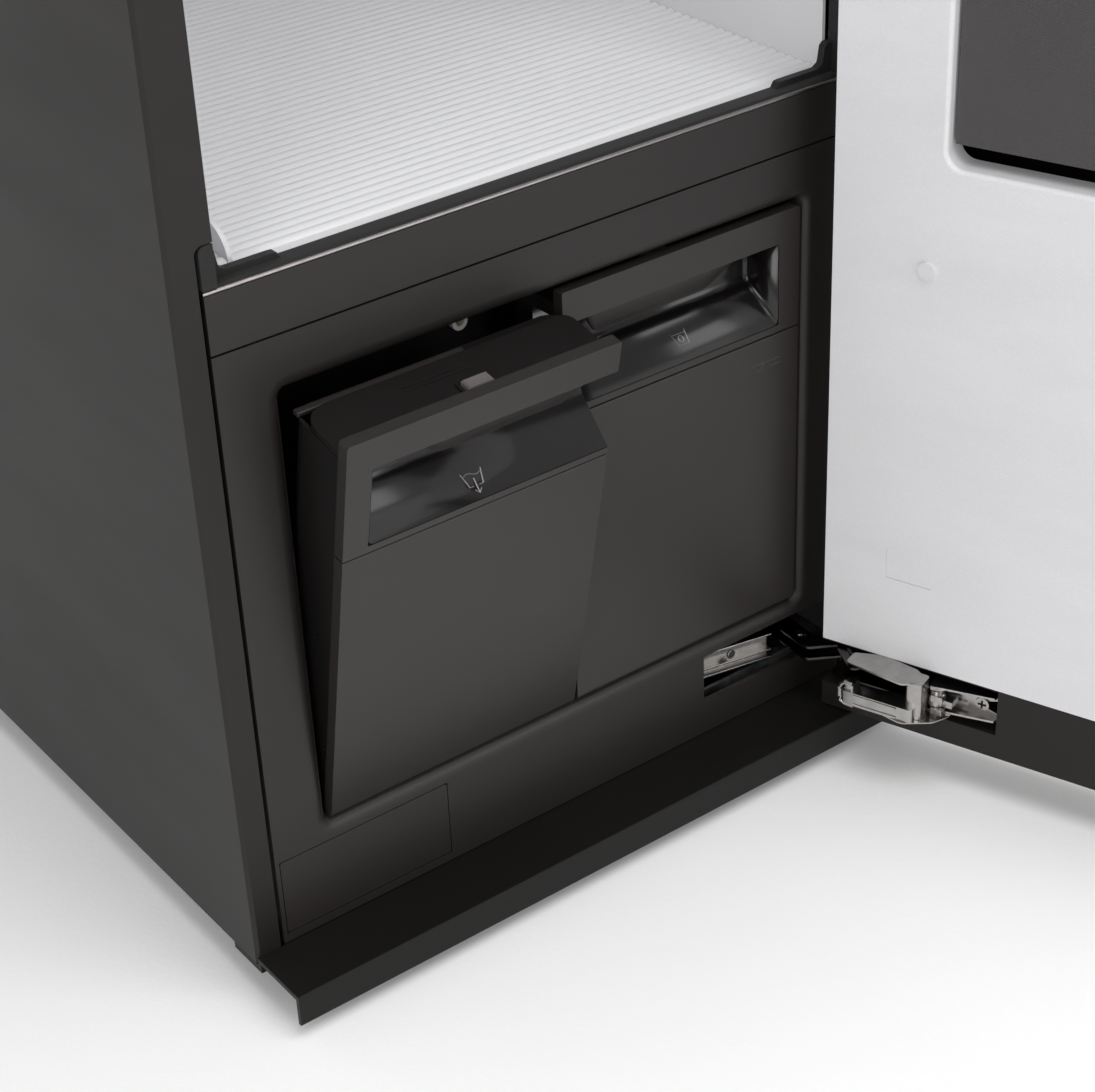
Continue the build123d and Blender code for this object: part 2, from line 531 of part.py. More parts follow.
def hinge_arm(z, anchor_z, label):
    """The cabinet side of a hinge: a base box behind the front, with a tongue for the link's pin."""
    with BuildPart() as arm:
        block((100, 152), (FRONT + 68, FRONT + 74), sorted((anchor_z, z)))
        block((100, 152), (FRONT + 34.3, FRONT + 74), (z - 13, z + 13))
        block((102, 150), (FRONT + 33, FRONT + 72), (z - 11, z + 11), mode=Mode.SUBTRACT)
        block((150, ARM_PIVOT[0]), (ARM_PIVOT[1] - 7, ARM_PIVOT[1] + 7), (z + ARM_SLOT_Z[0], z + ARM_SLOT_Z[1]))
        rod(*ARM_PIVOT, (z + ARM_SLOT_Z[0], z + ARM_SLOT_Z[1]), 7.0)
        rod(*ARM_PIVOT, (z, z + 12), PIN_R + FIT, mode=Mode.SUBTRACT)
    finish(arm, label)


def hinge_link(z, label):
    """A goose-necked link with a pin at the arm and another at the door."""
    bend = (191.0, FRONT - 12.5)
    knee = (184.0, FRONT + 12.0)
    path = [ARM_PIVOT, knee, bend, DOOR_PIVOT]
    with BuildPart() as link:
        with BuildSketch(level(z + LINK_Z[0], LINK)):
            for start, end in zip(path, path[1:]):
                run = Vector(*end) - Vector(*start)
                turn = Vector(1, 0).get_signed_angle(run, Vector(0, 0, 1))
                centre = (Vector(*end) + Vector(*start)) * 0.5
                with Locations(Location((centre.X, centre.Y, 0), (0, 0, turn))):
                    SlotCenterToCenter(run.length, 11.0)
        extrude(amount=LINK_Z[1] - LINK_Z[0])
        rod(*ARM_PIVOT, (z + ARM_SLOT_Z[0] - 0.4, z + ARM_SLOT_Z[1] + 0.4), 14.0, frame=LINK, mode=Mode.SUBTRACT)
        rod(*DOOR_PIVOT, (z + ARM_SLOT_Z[0] - 0.4, z + ARM_SLOT_Z[1] + 0.4), 9.0, frame=LINK, mode=Mode.SUBTRACT)
        for pivot in (ARM_PIVOT, DOOR_PIVOT):
            rod(*pivot, (z + LINK_Z[0] - 0.5, z + LINK_Z[1] + 1.0), PIN_R, frame=LINK)
    finish(link, label)


for z, anchor_z, name in ((HINGE_LOW_Z, PAN_FLOOR, "lower"), (HINGE_HIGH_Z, HEIGHT - 3, "upper")):
    hinge_arm(z, anchor_z, f"hinge_arm_{name}")
    hinge_link(z, f"hinge_link_{name}")

# ---- door
DOOR_IN = FRONT - DOOR_GAP
DOOR_OUT = DOOR_IN - DOOR_THICK
POCKET_X = (108.0, HALF)
POCKET_DEEP = 33.0
POCKET_HIGH = 31.0
SKIN = 3.0
LINER_LOW = BASE_Z + 54.0
FRAME_TOP = DOOR_TOP - 49.0

with BuildPart() as door_panel:
    block((-HALF, HALF), (DOOR_OUT, DOOR_OUT + 12), (DOOR_LOW, DOOR_TOP), DOOR)
    edges = door_panel.edges().sort_by(lambda e: centre_in(e, DOOR).Y)[:4]
    fillet(edges, 2.0)
    block((-HALF + SKIN, HALF - SKIN), (DOOR_OUT + SHEET, DOOR_OUT + 12), (DOOR_LOW + SKIN, DOOR_TOP - SKIN),
          DOOR, Mode.SUBTRACT)
finish(door_panel, "door_panel")


def hinge_pocket(z):
    block((POCKET_X[0], POCKET_X[1] + 1), (DOOR_IN - POCKET_DEEP, DOOR_IN + 1),
          (z - POCKET_HIGH / 2, z + POCKET_HIGH / 2), DOOR, Mode.SUBTRACT)


with BuildPart() as door_frame:
    block((-HALF, HALF), (DOOR_OUT + 12, DOOR_IN), (DOOR_LOW, DOOR_TOP), DOOR)
    block((-HALF + 16, HALF - 16), (DOOR_OUT + 11, DOOR_IN + 1), (LINER_LOW + 12, FRAME_TOP - 12), DOOR,
          Mode.SUBTRACT)
    block((-HALF, HALF), (DOOR_IN - 3, DOOR_IN + 1), (LINER_LOW, FRAME_TOP), DOOR, Mode.SUBTRACT)
    for z in (HINGE_LOW_Z, HINGE_HIGH_Z):
        hinge_pocket(z)
finish(door_frame, "door_frame")

PRESS_X = 157.5
PRESS_LOW = BASE_Z + 373.0
PRESS_TOP = 1400.0
PRESS_DEEP = 18.0
LEAF_FACE = 6.0
LEAF_THICK = 8.0
CLIP_X, CLIP_Z = (154.0, 183.0), (BASE_Z + 110.0, BASE_Z + 130.0)
with BuildPart() as door_liner:
    block((-HALF, HALF), (DOOR_IN - 3, DOOR_IN), (LINER_LOW + 0.3, FRAME_TOP - 0.3), DOOR)
    block((-PRESS_X - WALL, PRESS_X + WALL), (DOOR_IN - PRESS_DEEP, DOOR_IN - 3),
          (PRESS_LOW - WALL, PRESS_TOP + WALL), DOOR)
    with BuildSketch(face_on(DOOR_IN, DOOR)):
        with Locations((0, (PRESS_LOW + PRESS_TOP) / 2)):
            RectangleRounded(2 * PRESS_X, PRESS_TOP - PRESS_LOW, 10.0)
    extrude(amount=PRESS_DEEP, mode=Mode.SUBTRACT)
    front_edges = door_liner.edges().filter_by(lambda e: abs(centre_in(e, DOOR).Y - DOOR_IN) < 0.01)
    rim = front_edges.filter_by(lambda e: abs(centre_in(e, DOOR).X) < PRESS_X + 1
                                and PRESS_LOW - 1 < e.center().Z < PRESS_TOP + 1)
    fillet(rim, 2.5)
    block((CLIP_X[1] - 0.8, CLIP_X[1]), (DOOR_IN - 0.5, DOOR_IN), CLIP_Z, DOOR, Mode.SUBTRACT)
    block(CLIP_X, (DOOR_IN - 0.5, DOOR_IN), (CLIP_Z[0], CLIP_Z[0] + 0.8), DOOR, Mode.SUBTRACT)
finish(door_liner, "door_liner")

LEAF_PIN = (-PRESS_X + 6.5, DOOR_IN - LEAF_FACE - LEAF_THICK / 2)
LEAF_PIN_R = 2.0
KNUCKLE_R = 3.8
KNUCKLE_LONG = 40.0
KNUCKLES = (PRESS_LOW + 80, PRESS_TOP - 120)
BOARD_FACE = DOOR_IN - LEAF_FACE - LEAF_THICK - 1
with BuildPart() as press_board:
    block((-PRESS_X + 0.3, PRESS_X - 0.3), (DOOR_IN - PRESS_DEEP, BOARD_FACE), (PRESS_LOW + 10, PRESS_TOP - 10), DOOR)
    for knuckle_z in KNUCKLES:
        heights = (knuckle_z, knuckle_z + KNUCKLE_LONG)
        block((LEAF_PIN[0] - KNUCKLE_R, LEAF_PIN[0] + KNUCKLE_R), (BOARD_FACE, LEAF_PIN[1]), heights, DOOR)
        rod(*LEAF_PIN, heights, KNUCKLE_R, frame=DOOR)
        rod(*LEAF_PIN, (knuckle_z - 1, knuckle_z + KNUCKLE_LONG + 1), LEAF_PIN_R + FIT, frame=DOOR,
            mode=Mode.SUBTRACT)
finish(press_board, "press_board")

with BuildPart() as press_leaf:
    block((LEAF_PIN[0], PRESS_X - 2), (DOOR_IN - LEAF_FACE - LEAF_THICK, DOOR_IN - LEAF_FACE),
          (PRESS_LOW + 12, PRESS_TOP - 12), DOOR)
    rod(*LEAF_PIN, (PRESS_LOW + 12, PRESS_TOP - 12), LEAF_THICK / 2, frame=DOOR)
    for knuckle_z in KNUCKLES:
        block((LEAF_PIN[0] - 5, LEAF_PIN[0] + 5), (BOARD_FACE, DOOR_IN), (knuckle_z - 0.5, knuckle_z + KNUCKLE_LONG + 0.5),
              DOOR, Mode.SUBTRACT)
        rod(*LEAF_PIN, (knuckle_z - 2, knuckle_z + KNUCKLE_LONG + 2), LEAF_PIN_R, frame=DOOR)
finish(press_leaf, "press_leaf")

with BuildPart() as door_caps:
    for cap_x in (-165.7, 165.7):
        rod(cap_x, (DOOR_IN, DOOR_IN + 1.5), BASE_Z + 312, 5.0, "Y", DOOR)
finish(door_caps, "door_caps")

with BuildPart() as display_window:
    block((-40, 40), (DOOR_OUT - 0.8, DOOR_OUT), (1180, 1330), DOOR)
finish(display_window, "display_window")


def hinge_plate(z, label):
    """The door side of a hinge: a tray on the pocket's floor, a knuckle, and a hollow arm that folds away."""
    floor_y = DOOR_IN - POCKET_DEEP
    with BuildPart() as plate:
        block((110, 218), (floor_y, floor_y + 2), (z - 14.5, z + 14.5), DOOR)
        for wall_z in (z - 14.5, z + 13):
            block((110, 172), (floor_y, DOOR_IN - 1), (wall_z, wall_z + 1.5), DOOR)
        block((DOOR_PIVOT[0] - 5, DOOR_PIVOT[0] + 5), (floor_y, DOOR_PIVOT[1]),
              (z + ARM_SLOT_Z[0], z + ARM_SLOT_Z[1]), DOOR)
        rod(*DOOR_PIVOT, (z + ARM_SLOT_Z[0], z + ARM_SLOT_Z[1]), 5.0, frame=DOOR)
        rod(*DOOR_PIVOT, (z + 1, z + 12), PIN_R + FIT, frame=DOOR, mode=Mode.SUBTRACT)
        with BuildSketch(level(z + BLOCK_Z[0], DOOR)):
            with BuildLine():
                Polyline((124, floor_y + 1), (160, DOOR_IN + 16), (188, DOOR_IN + 20), (196, DOOR_IN + 12),
                         (196, DOOR_IN - 2), (170, floor_y + 1), close=True)
            make_face()
        extrude(amount=BLOCK_Z[1] - BLOCK_Z[0])
        with BuildSketch(level(z + BLOCK_Z[0] + 2, DOOR)):
            with BuildLine():
                Polyline((132, floor_y + 4), (162, DOOR_IN + 12), (187, DOOR_IN + 17), (200, DOOR_IN + 12),
                         (200, DOOR_IN - 2), (168, floor_y + 4), close=True)
            make_face()
        extrude(amount=BLOCK_Z[1] - BLOCK_Z[0] - 4, mode=Mode.SUBTRACT)
    finish(plate, label)


hinge_plate(HINGE_LOW_Z, "hinge_plate_lower")
hinge_plate(HINGE_HIGH_Z, "hinge_plate_upper")

with BuildPart() as hinge_screws:
    floor_y = DOOR_IN - POCKET_DEEP + 2
    for z in (HINGE_LOW_Z, HINGE_HIGH_Z):
        for screw_z in (z - 7, z + 7):
            rod(118, (floor_y, floor_y + 3), screw_z, 4.5, "Y", DOOR)
            for across in ((2.8, 0.5), (0.5, 2.8)):
                block((118 - across[0], 118 + across[0]), (floor_y + 1.6, floor_y + 4),
                      (screw_z - across[1], screw_z + across[1]), DOOR, Mode.SUBTRACT)
finish(hinge_screws, "hinge_screws")

# ---- tanks
RECESS_OUT = 152.0
RECESS_Z = (BASE_Z + 263.0, BASE_Z + 313.0)
RECESS_DEEP = 28.0
RECESS_RISE = 20.0
LATCH_X, LATCH_Y = 78.0, FRONT + 17.0
LATCH_SIZE = (16.0, 9.0)
LATCH_TRAVEL = 2.0
RIM_LONG = 100.0


def finger_space(across, wall, mode, frame):
    """The room behind the handle bar: its floor rises to the back. With a wall it is the shell around that room."""
    start = FRONT + FACE_THICK if wall else FRONT - 1
    rise = (start - FRONT) / RECESS_DEEP * RECESS_RISE
    back, top = FRONT + RECESS_DEEP + wall, LID_Z - 8.5
    with BuildSketch(side(across[0], frame)) as profile:
        with BuildLine():
            Polyline((start, RECESS_Z[0] + rise - 2 * wall), (back, RECESS_Z[0] + RECESS_RISE - wall), (back, top),
                     (start, top), close=True)
        make_face()
    extrude(profile.sketch, amount=across[1] - across[0], mode=mode)


def tank(prefix, mirror_sign, frame):
    """One tank: a hollow body, a front face with the handle recess, a lid and a sprung lid button."""
    left, right = sorted((mirror_sign * TANK_IN, mirror_sign * TANK_OUT))
    middle = (left + right) / 2
    body_x = (left + 1.0, right - 1.0)
    body_y = (FRONT + FACE_THICK, FRONT + TANK_DEEP)
    body_z = (TANK_LOW + 2.0, LID_Z - 4.0)
    recess = sorted((0, mirror_sign * RECESS_OUT))
    button_x = mirror_sign * LATCH_X

    with BuildPart() as body:
        block(body_x, body_y, body_z, frame)
        rear = body.edges().filter_by(lambda e: abs(e.length - (body_z[1] - body_z[0])) < 0.01).sort_by(
            lambda e: centre_in(e, frame).Y)[-2:]
        fillet(rear, 12)
        block((body_x[0] + WALL, body_x[1] - WALL), (body_y[0] + WALL, body_y[1] - WALL - 3),
              (body_z[0] + WALL, body_z[1]), frame, Mode.SUBTRACT)
        walls = sorted((mirror_sign * (TANK_IN + 1), mirror_sign * (RECESS_OUT + WALL)))
        finger_space(walls, WALL, Mode.ADD, frame)
        finger_space((recess[0] - 1, recess[1]) if mirror_sign > 0 else (recess[0], recess[1] + 1), 0,
                     Mode.SUBTRACT, frame)
    finish(body, prefix)

    with BuildPart() as face:
        block((left, right), (FRONT, FRONT + FACE_THICK), (TANK_LOW, TANK_HIGH), frame)
        low_front = face.edges().filter_by(lambda e: abs(e.length - (right - left)) < 0.01).sort_by(
            lambda e: centre_in(e, frame).Y + centre_in(e, frame).Z)[0]
        fillet(low_front, ROLL)
        block((left - 1, right + 1), (FRONT - 1, FRONT + 0.8), (LEDGE_Z - 0.5, LEDGE_Z + 0.5), frame, Mode.SUBTRACT)
        block(recess, (FRONT - 1, FRONT + FACE_THICK + 1), RECESS_Z, frame, Mode.SUBTRACT)
    finish(face, f"{prefix}_face")

    with BuildPart() as lid:
        block(body_x, (FRONT + FACE_THICK, FRONT + 44), (LID_Z - 3.8, LID_Z), frame)
        block((body_x[0] + 3, body_x[1] - 3), (FRONT + FACE_THICK + 3, FRONT + 42), (LID_Z - 8, LID_Z - 3.8), frame)
        rim = sorted((mirror_sign * (TANK_OUT - 1 - RIM_LONG), mirror_sign * (TANK_OUT - 1)))
        block(rim, (FRONT + 44, FRONT + 49), (LID_Z - 3.8, LID_Z - 1), frame)
        block((button_x - LATCH_SIZE[0] / 2 - 0.4, button_x + LATCH_SIZE[0] / 2 + 0.4),
              (LATCH_Y - LATCH_SIZE[1] / 2 - 0.4, LATCH_Y + LATCH_SIZE[1] / 2 + 0.4), (LID_Z - 5, LID_Z + 1),
              frame, Mode.SUBTRACT)
    finish(lid, f"{prefix}_lid")

    with BuildPart() as latch:
        block((button_x - LATCH_SIZE[0] / 2, button_x + LATCH_SIZE[0] / 2),
              (LATCH_Y - LATCH_SIZE[1] / 2, LATCH_Y + LATCH_SIZE[1] / 2), (LID_Z - 2.5, LID_Z + 4), frame)
    finish(latch, f"{prefix}_latch")


tank("drain_tank", -1, TILTED)
tank("fill_tank", 1, CABINET)
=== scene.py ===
from math import cos, pi, radians, sin, tau

import bmesh
import bpy
from mathutils import Matrix, Vector


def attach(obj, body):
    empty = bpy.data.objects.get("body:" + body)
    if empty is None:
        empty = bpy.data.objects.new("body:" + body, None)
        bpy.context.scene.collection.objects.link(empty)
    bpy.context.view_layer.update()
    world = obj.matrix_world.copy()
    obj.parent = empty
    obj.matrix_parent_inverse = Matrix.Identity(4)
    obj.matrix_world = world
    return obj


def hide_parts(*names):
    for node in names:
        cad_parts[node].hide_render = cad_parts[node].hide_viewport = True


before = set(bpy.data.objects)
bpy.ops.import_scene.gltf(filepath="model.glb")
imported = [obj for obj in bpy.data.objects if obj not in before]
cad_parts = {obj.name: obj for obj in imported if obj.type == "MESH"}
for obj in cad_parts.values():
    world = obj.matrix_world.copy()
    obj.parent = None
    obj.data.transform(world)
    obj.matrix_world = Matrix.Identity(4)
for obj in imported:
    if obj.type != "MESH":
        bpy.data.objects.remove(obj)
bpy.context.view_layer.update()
MM = 0.001


# ---- shader arithmetic
class Wire:
    """A node's output that Python arithmetic can use; each operation adds one Math node."""

    def __init__(self, finish, socket):
        self.finish, self.socket = finish, socket

    def _math(self, operation, first, second):
        return self.finish.node("ShaderNodeMath", {"operation": operation}, {0: first, 1: second})

    def __add__(self, other):
        return self._math("ADD", self, other)

    __radd__ = __add__

    def __sub__(self, other):
        return self._math("SUBTRACT", self, other)

    def __rsub__(self, other):
        return self._math("SUBTRACT", other, self)

    def __mul__(self, other):
        return self._math("MULTIPLY", self, other)

    __rmul__ = __mul__

    def between(self, low, high):
        """0 under low, 1 over high, and smooth in between."""
        return self.finish.node("ShaderNodeMapRange", {"interpolation_type": "SMOOTHSTEP"},
                                {"Value": self, "From Min": low, "From Max": high})


class Finish:
    """One material, with the few nodes that every finish here is made of."""

    def __init__(self, name, **constants):
        self.material = bpy.data.materials.new(name)
        self.material.use_nodes = True
        self.tree = self.material.node_tree
        self.shader = self.tree.nodes["Principled BSDF"]
        for socket, value in constants.items():
            self.shader.inputs[socket.replace("_", " ")].default_value = value
        self.place = self.node("ShaderNodeTexCoord", out="Object")

    def node(self, kind, settings=None, sockets=None, out=0):
        made = self.tree.nodes.new(kind)
        for name, value in (settings or {}).items():
            setattr(made, name, value)
        for name, value in (sockets or {}).items():
            self.feed(made.inputs[name], value)
        return Wire(self, made.outputs[out])

    def feed(self, socket, value):
        if isinstance(value, Wire):
            self.tree.links.new(value.socket, socket)
        else:
            socket.default_value = value

    def set(self, socket, value):
        self.feed(self.shader.inputs[socket], value)

    def stretched(self, x, y, z):
        """The object's own coordinates, scaled along each axis."""
        return self.node("ShaderNodeVectorMath", {"operation": "MULTIPLY"}, {0: self.place, 1: (x, y, z)})

    def noise(self, size, detail=2.0, where=None, roughness=0.5):
        """Cloudy noise whose blotches are about size millimetres across."""
        return self.node("ShaderNodeTexNoise", None, {
            "Vector": where or self.place, "Scale": 1 / (size * MM), "Detail": detail, "Roughness": roughness})

    def cells(self, size):
        """Distance to the nearest of scattered points size millimetres apart."""
        return self.node("ShaderNodeTexVoronoi", None, {"Vector": self.place, "Scale": 1 / (size * MM)}, "Distance")

    def blend(self, factor, first, second):
        """A colour between two."""
        return self.node("ShaderNodeMix", {"data_type": "RGBA"}, {0: factor, 6: (*first, 1), 7: (*second, 1)}, 2)

    def relief(self, height, depth, under=None):
        """A bump whose full height is depth millimetres."""
        sockets = {"Height": height, "Strength": 1.0, "Distance": depth * MM}
        if under:
            sockets["Normal"] = under
        return self.node("ShaderNodeBump", None, sockets)


def shade(red, green, blue, times=1.0):
    """A display colour as the linear values that a shader takes."""
    return tuple(times * (c / 12.92 if c <= 0.04045 else ((c + 0.055) / 1.055) ** 2.4) for c in (red, green, blue))


# ---- finishes
def moulded(name, colour, roughness, grain=0.35, depth=0.02, mottling=0.12, **constants):
    """Injection-moulded plastic: a spark-eroded grain, faint flow mottling and rubbed patches."""
    finish = Finish(name, **constants)
    cloud = finish.noise(90, 3)
    rubbed = finish.noise(22, 4, roughness=0.65).between(0.5, 0.8)
    dark = tuple(c * (1 - mottling) for c in colour)
    light = tuple(c * (1 + mottling) for c in colour)
    finish.set("Base Color", finish.blend(cloud, dark, light))
    finish.set("Roughness", roughness + 0.05 * (cloud - 0.5) - 0.06 * rubbed)
    finish.set("Normal", finish.relief(finish.cells(grain) + 0.4 * finish.noise(grain * 5), depth))
    return finish.material


def painted(name, colour, roughness, peel=1.6, **constants):
    """Powder-coated sheet steel: orange peel, specks in the powder and a slight sheen of wiping."""
    finish = Finish(name, **constants)
    peel_height = finish.noise(peel, 2) + 0.3 * finish.noise(peel * 0.25)
    speck = finish.cells(0.9).between(0.1, 0.35)
    wipe = finish.noise(60, 5, finish.stretched(0.4, 0.4, 1.6), 0.6)
    finish.set("Base Color", finish.blend(speck * 0.5 + wipe * 0.5, tuple(c * 1.18 for c in colour),
                                          tuple(c * 0.88 for c in colour)))
    finish.set("Roughness", roughness + 0.1 * (wipe - 0.5))
    finish.set("Normal", finish.relief(peel_height, 0.012))
    return finish.material


def polished(name, colour, roughness=0.12, **constants):
    """Glossy plastic: nearly clear of texture, with dust, hairline swirls and a slow waviness."""
    finish = Finish(name, **constants)
    dust = finish.cells(2.4).between(0.0, 0.09)
    swirl = finish.noise(1.2, 3, finish.stretched(0.15, 1.0, 1.0))
    finish.set("Base Color", finish.blend(dust, tuple(c * 1.9 for c in colour), colour))
    finish.set("Roughness", roughness + 0.05 * swirl + 0.1 * (1 - dust))
    finish.set("Normal", finish.relief(finish.noise(25, 2), 0.06))
    return finish.material


def rolled_metal(name, colour, roughness, along=(1.0, 14.0, 14.0), spread=0.12, stain=0.2, **constants):
    """Bright rolled or plated metal: fine drawn lines, cloudy oxide and duller handled spots."""
    finish = Finish(name, Metallic=1.0, **constants)
    lines = finish.noise(3.0, 4, finish.stretched(*along), 0.7)
    cloud = finish.noise(9, 4, roughness=0.6)
    finish.set("Base Color", finish.blend(cloud.between(0.35, 0.75) * 0.7 + lines * 0.3, colour,
                                          tuple(c * (1 - stain) for c in colour)))
    finish.set("Roughness", roughness + spread * (lines - 0.5) + spread * (cloud - 0.5))
    finish.set("Normal", finish.relief(lines + 0.5 * cloud, 0.015))
    return finish.material


def spangled(name, colour):
    """Hot-dip galvanised sheet: crystal spangles that differ in tone and gloss."""
    finish = Finish(name, Metallic=1.0)
    spangle = finish.node("ShaderNodeTexVoronoi", None, {"Vector": finish.place, "Scale": 1 / (7 * MM)}, "Color")
    tone = finish.node("ShaderNodeSeparateColor", None, {0: spangle})
    finish.set("Base Color", finish.blend(tone, tuple(c * 0.78 for c in colour), colour))
    finish.set("Roughness", 0.38 + 0.16 * tone)
    finish.set("Normal", finish.relief(finish.noise(5, 3) + 0.4 * tone, 0.02))
    return finish.material


def elastic(name, colour, roughness=0.62):
    """Extruded rubber: fine die lines along it, talc in the low spots and a dull skin."""
    finish = Finish(name, Specular_IOR_Level=0.35, Sheen_Weight=0.08)
    skin = finish.noise(0.8, 3)
    talc = finish.noise(14, 5, roughness=0.7).between(0.52, 0.85)
    finish.set("Base Color", finish.blend(talc, colour, tuple(min(1, c * 1.6 + 0.004) for c in colour)))
    finish.set("Roughness", roughness + 0.12 * talc + 0.06 * skin)
    finish.set("Normal", finish.relief(skin + finish.noise(0.3), 0.02))
    return finish.material


def knitted(name, colour):
    """A heat-proof press cloth over foam: a small square mesh with shadowed holes."""
    finish = Finish(name, Roughness=0.85, Sheen_Weight=0.25, Specular_IOR_Level=0.2)
    pitch = tau / (1.6 * MM)
    parts = finish.node("ShaderNodeSeparateXYZ", None, {0: finish.place})
    across = finish.node("ShaderNodeSeparateXYZ", None, {0: finish.place}, "Y")
    upright = finish.node("ShaderNodeSeparateXYZ", None, {0: finish.place}, "Z")
    weft = finish.node("ShaderNodeMath", {"operation": "SINE"}, {0: (parts * 0.342 - across * 0.94) * pitch})
    warp = finish.node("ShaderNodeMath", {"operation": "SINE"}, {0: upright * pitch})
    weave = weft * warp * 0.5 + 0.5
    cloud = finish.noise(30, 4)
    finish.set("Base Color", finish.blend(weave * 0.6 + cloud * 0.4, tuple(c * 0.8 for c in colour),
                                          tuple(c * 1.15 for c in colour)))
    finish.set("Normal", finish.relief(weave + 0.3 * finish.noise(0.5), 0.15))
    return finish.material


def see_through(name, colour, weight, roughness):
    """Smoked clear plastic or glass with faint streaks on it."""
    finish = Finish(name, Transmission_Weight=weight, IOR=1.5)
    streak = finish.noise(18, 4, finish.stretched(2.0, 2.0, 0.5), 0.65)
    finish.set("Base Color", finish.blend(streak, colour, tuple(c * 1.2 for c in colour)))
    finish.set("Roughness", roughness + 0.08 * streak)
    finish.set("Normal", finish.relief(finish.noise(30, 2), 0.05))
    return finish.material


def printed(name, colour):
    """Silk-screened ink with a slightly uneven edge of tone."""
    finish = Finish(name, Specular_IOR_Level=0.3)
    coverage = finish.noise(0.6, 3)
    finish.set("Base Color", finish.blend(coverage, colour, tuple(c * 0.8 for c in colour)))
    finish.set("Roughness", 0.5 + 0.15 * coverage)
    finish.set("Normal", finish.relief(coverage, 0.01))
    return finish.material


shell_black = painted("shell_black_powder_coat", shade(0.105, 0.093, 0.088), 0.46, Specular_IOR_Level=0.3)
bezel_black = moulded("bezel_black_plastic", shade(0.125, 0.112, 0.107), 0.42, Specular_IOR_Level=0.35)
tank_black = moulded("tank_front_charcoal", shade(0.15, 0.137, 0.131), 0.38, Specular_IOR_Level=0.4)
sill_black = moulded("sill_black_plastic", shade(0.07, 0.065, 0.06), 0.5, Specular_IOR_Level=0.2)
gloss_black = polished("handle_gloss_black", shade(0.07, 0.062, 0.06), 0.16, Specular_IOR_Level=0.45)
lid_black = moulded("lid_black_plastic", shade(0.085, 0.076, 0.073), 0.34, 0.5, Specular_IOR_Level=0.35)
bay_black = moulded("bay_black_plastic", shade(0.05, 0.047, 0.043), 0.55, 0.6, Specular_IOR_Level=0.15)
gasket_black = elastic("gasket_black_rubber", shade(0.085, 0.078, 0.074))
door_black = moulded("door_frame_black", shade(0.115, 0.103, 0.098), 0.45, Specular_IOR_Level=0.25)
door_white = painted("liner_white_enamel", shade(0.86, 0.86, 0.868), 0.36, Specular_IOR_Level=0.4)
floor_white = moulded("chamber_white_plastic", shade(0.85, 0.85, 0.856), 0.34, 0.6, mottling=0.015)
press_grey = knitted("press_cloth_grey", shade(0.29, 0.277, 0.28))
board_grey = moulded("press_board_grey", shade(0.3, 0.288, 0.292), 0.5, 0.6)
# A light silver metal for the crossbar bead: a painted highlight, standing in for the light caught on the black
# crossbar's rounded top edge.
painted_highlight_silver = rolled_metal("painted_highlight_trim_silver", shade(0.62, 0.6, 0.6), 0.34)
nickel = rolled_metal("hinge_nickel_plate", shade(0.72, 0.71, 0.7), 0.24, spread=0.1, stain=0.25)
dark_chrome = rolled_metal("hinge_dark_chrome", shade(0.3, 0.285, 0.275), 0.2, spread=0.08)
zinc = spangled("galvanised_steel", shade(0.68, 0.69, 0.7))
copper = rolled_metal("copper_tube", shade(0.78, 0.5, 0.36), 0.3)
fin_metal = rolled_metal("aluminium_fins", shade(0.8, 0.81, 0.82), 0.35, (14.0, 14.0, 1.0))
rail_steel = rolled_metal("hanger_rail_stainless", shade(0.7, 0.7, 0.69), 0.26, (14.0, 1.0, 14.0))
enamel_black = painted("compressor_black_enamel", shade(0.1, 0.1, 0.1), 0.3, 2.5, Coat_Weight=0.4)
grey_plastic = moulded("machine_grey_plastic", shade(0.42, 0.43, 0.44), 0.5, 0.6)
white_nylon = moulded("natural_nylon", shade(0.8, 0.79, 0.75), 0.45, 0.4, Subsurface_Weight=0.1)
filter_blue = moulded("filter_frame_grey_blue", shade(0.46, 0.52, 0.56), 0.5, 0.4)
boiler_metal = rolled_metal("steam_boiler_aluminium", shade(0.66, 0.65, 0.63), 0.42)
tank_smoke = moulded("tank_body_smoked", shade(0.085, 0.08, 0.078), 0.3, 0.8, Specular_IOR_Level=0.35)
latch_grey = moulded("latch_light_grey", shade(0.4, 0.38, 0.375), 0.4, 0.4)
mirror_black = polished("door_mirror_glass", shade(0.06, 0.06, 0.065), 0.05, Coat_Weight=1.0, Coat_Roughness=0.03)
display_black = polished("display_smoked_glass", shade(0.03, 0.03, 0.035), 0.04, Coat_Weight=0.6)
cap_white = moulded("screw_cap_white", shade(0.83, 0.83, 0.835), 0.4, 0.4, mottling=0.02)
foot_rubber = elastic("foot_rubber", shade(0.1, 0.1, 0.1))
cord_grip = elastic("cord_grip_rubber", shade(0.12, 0.12, 0.12), 0.55)
ink_grey = printed("symbol_ink_grey", shade(0.62, 0.6, 0.59))

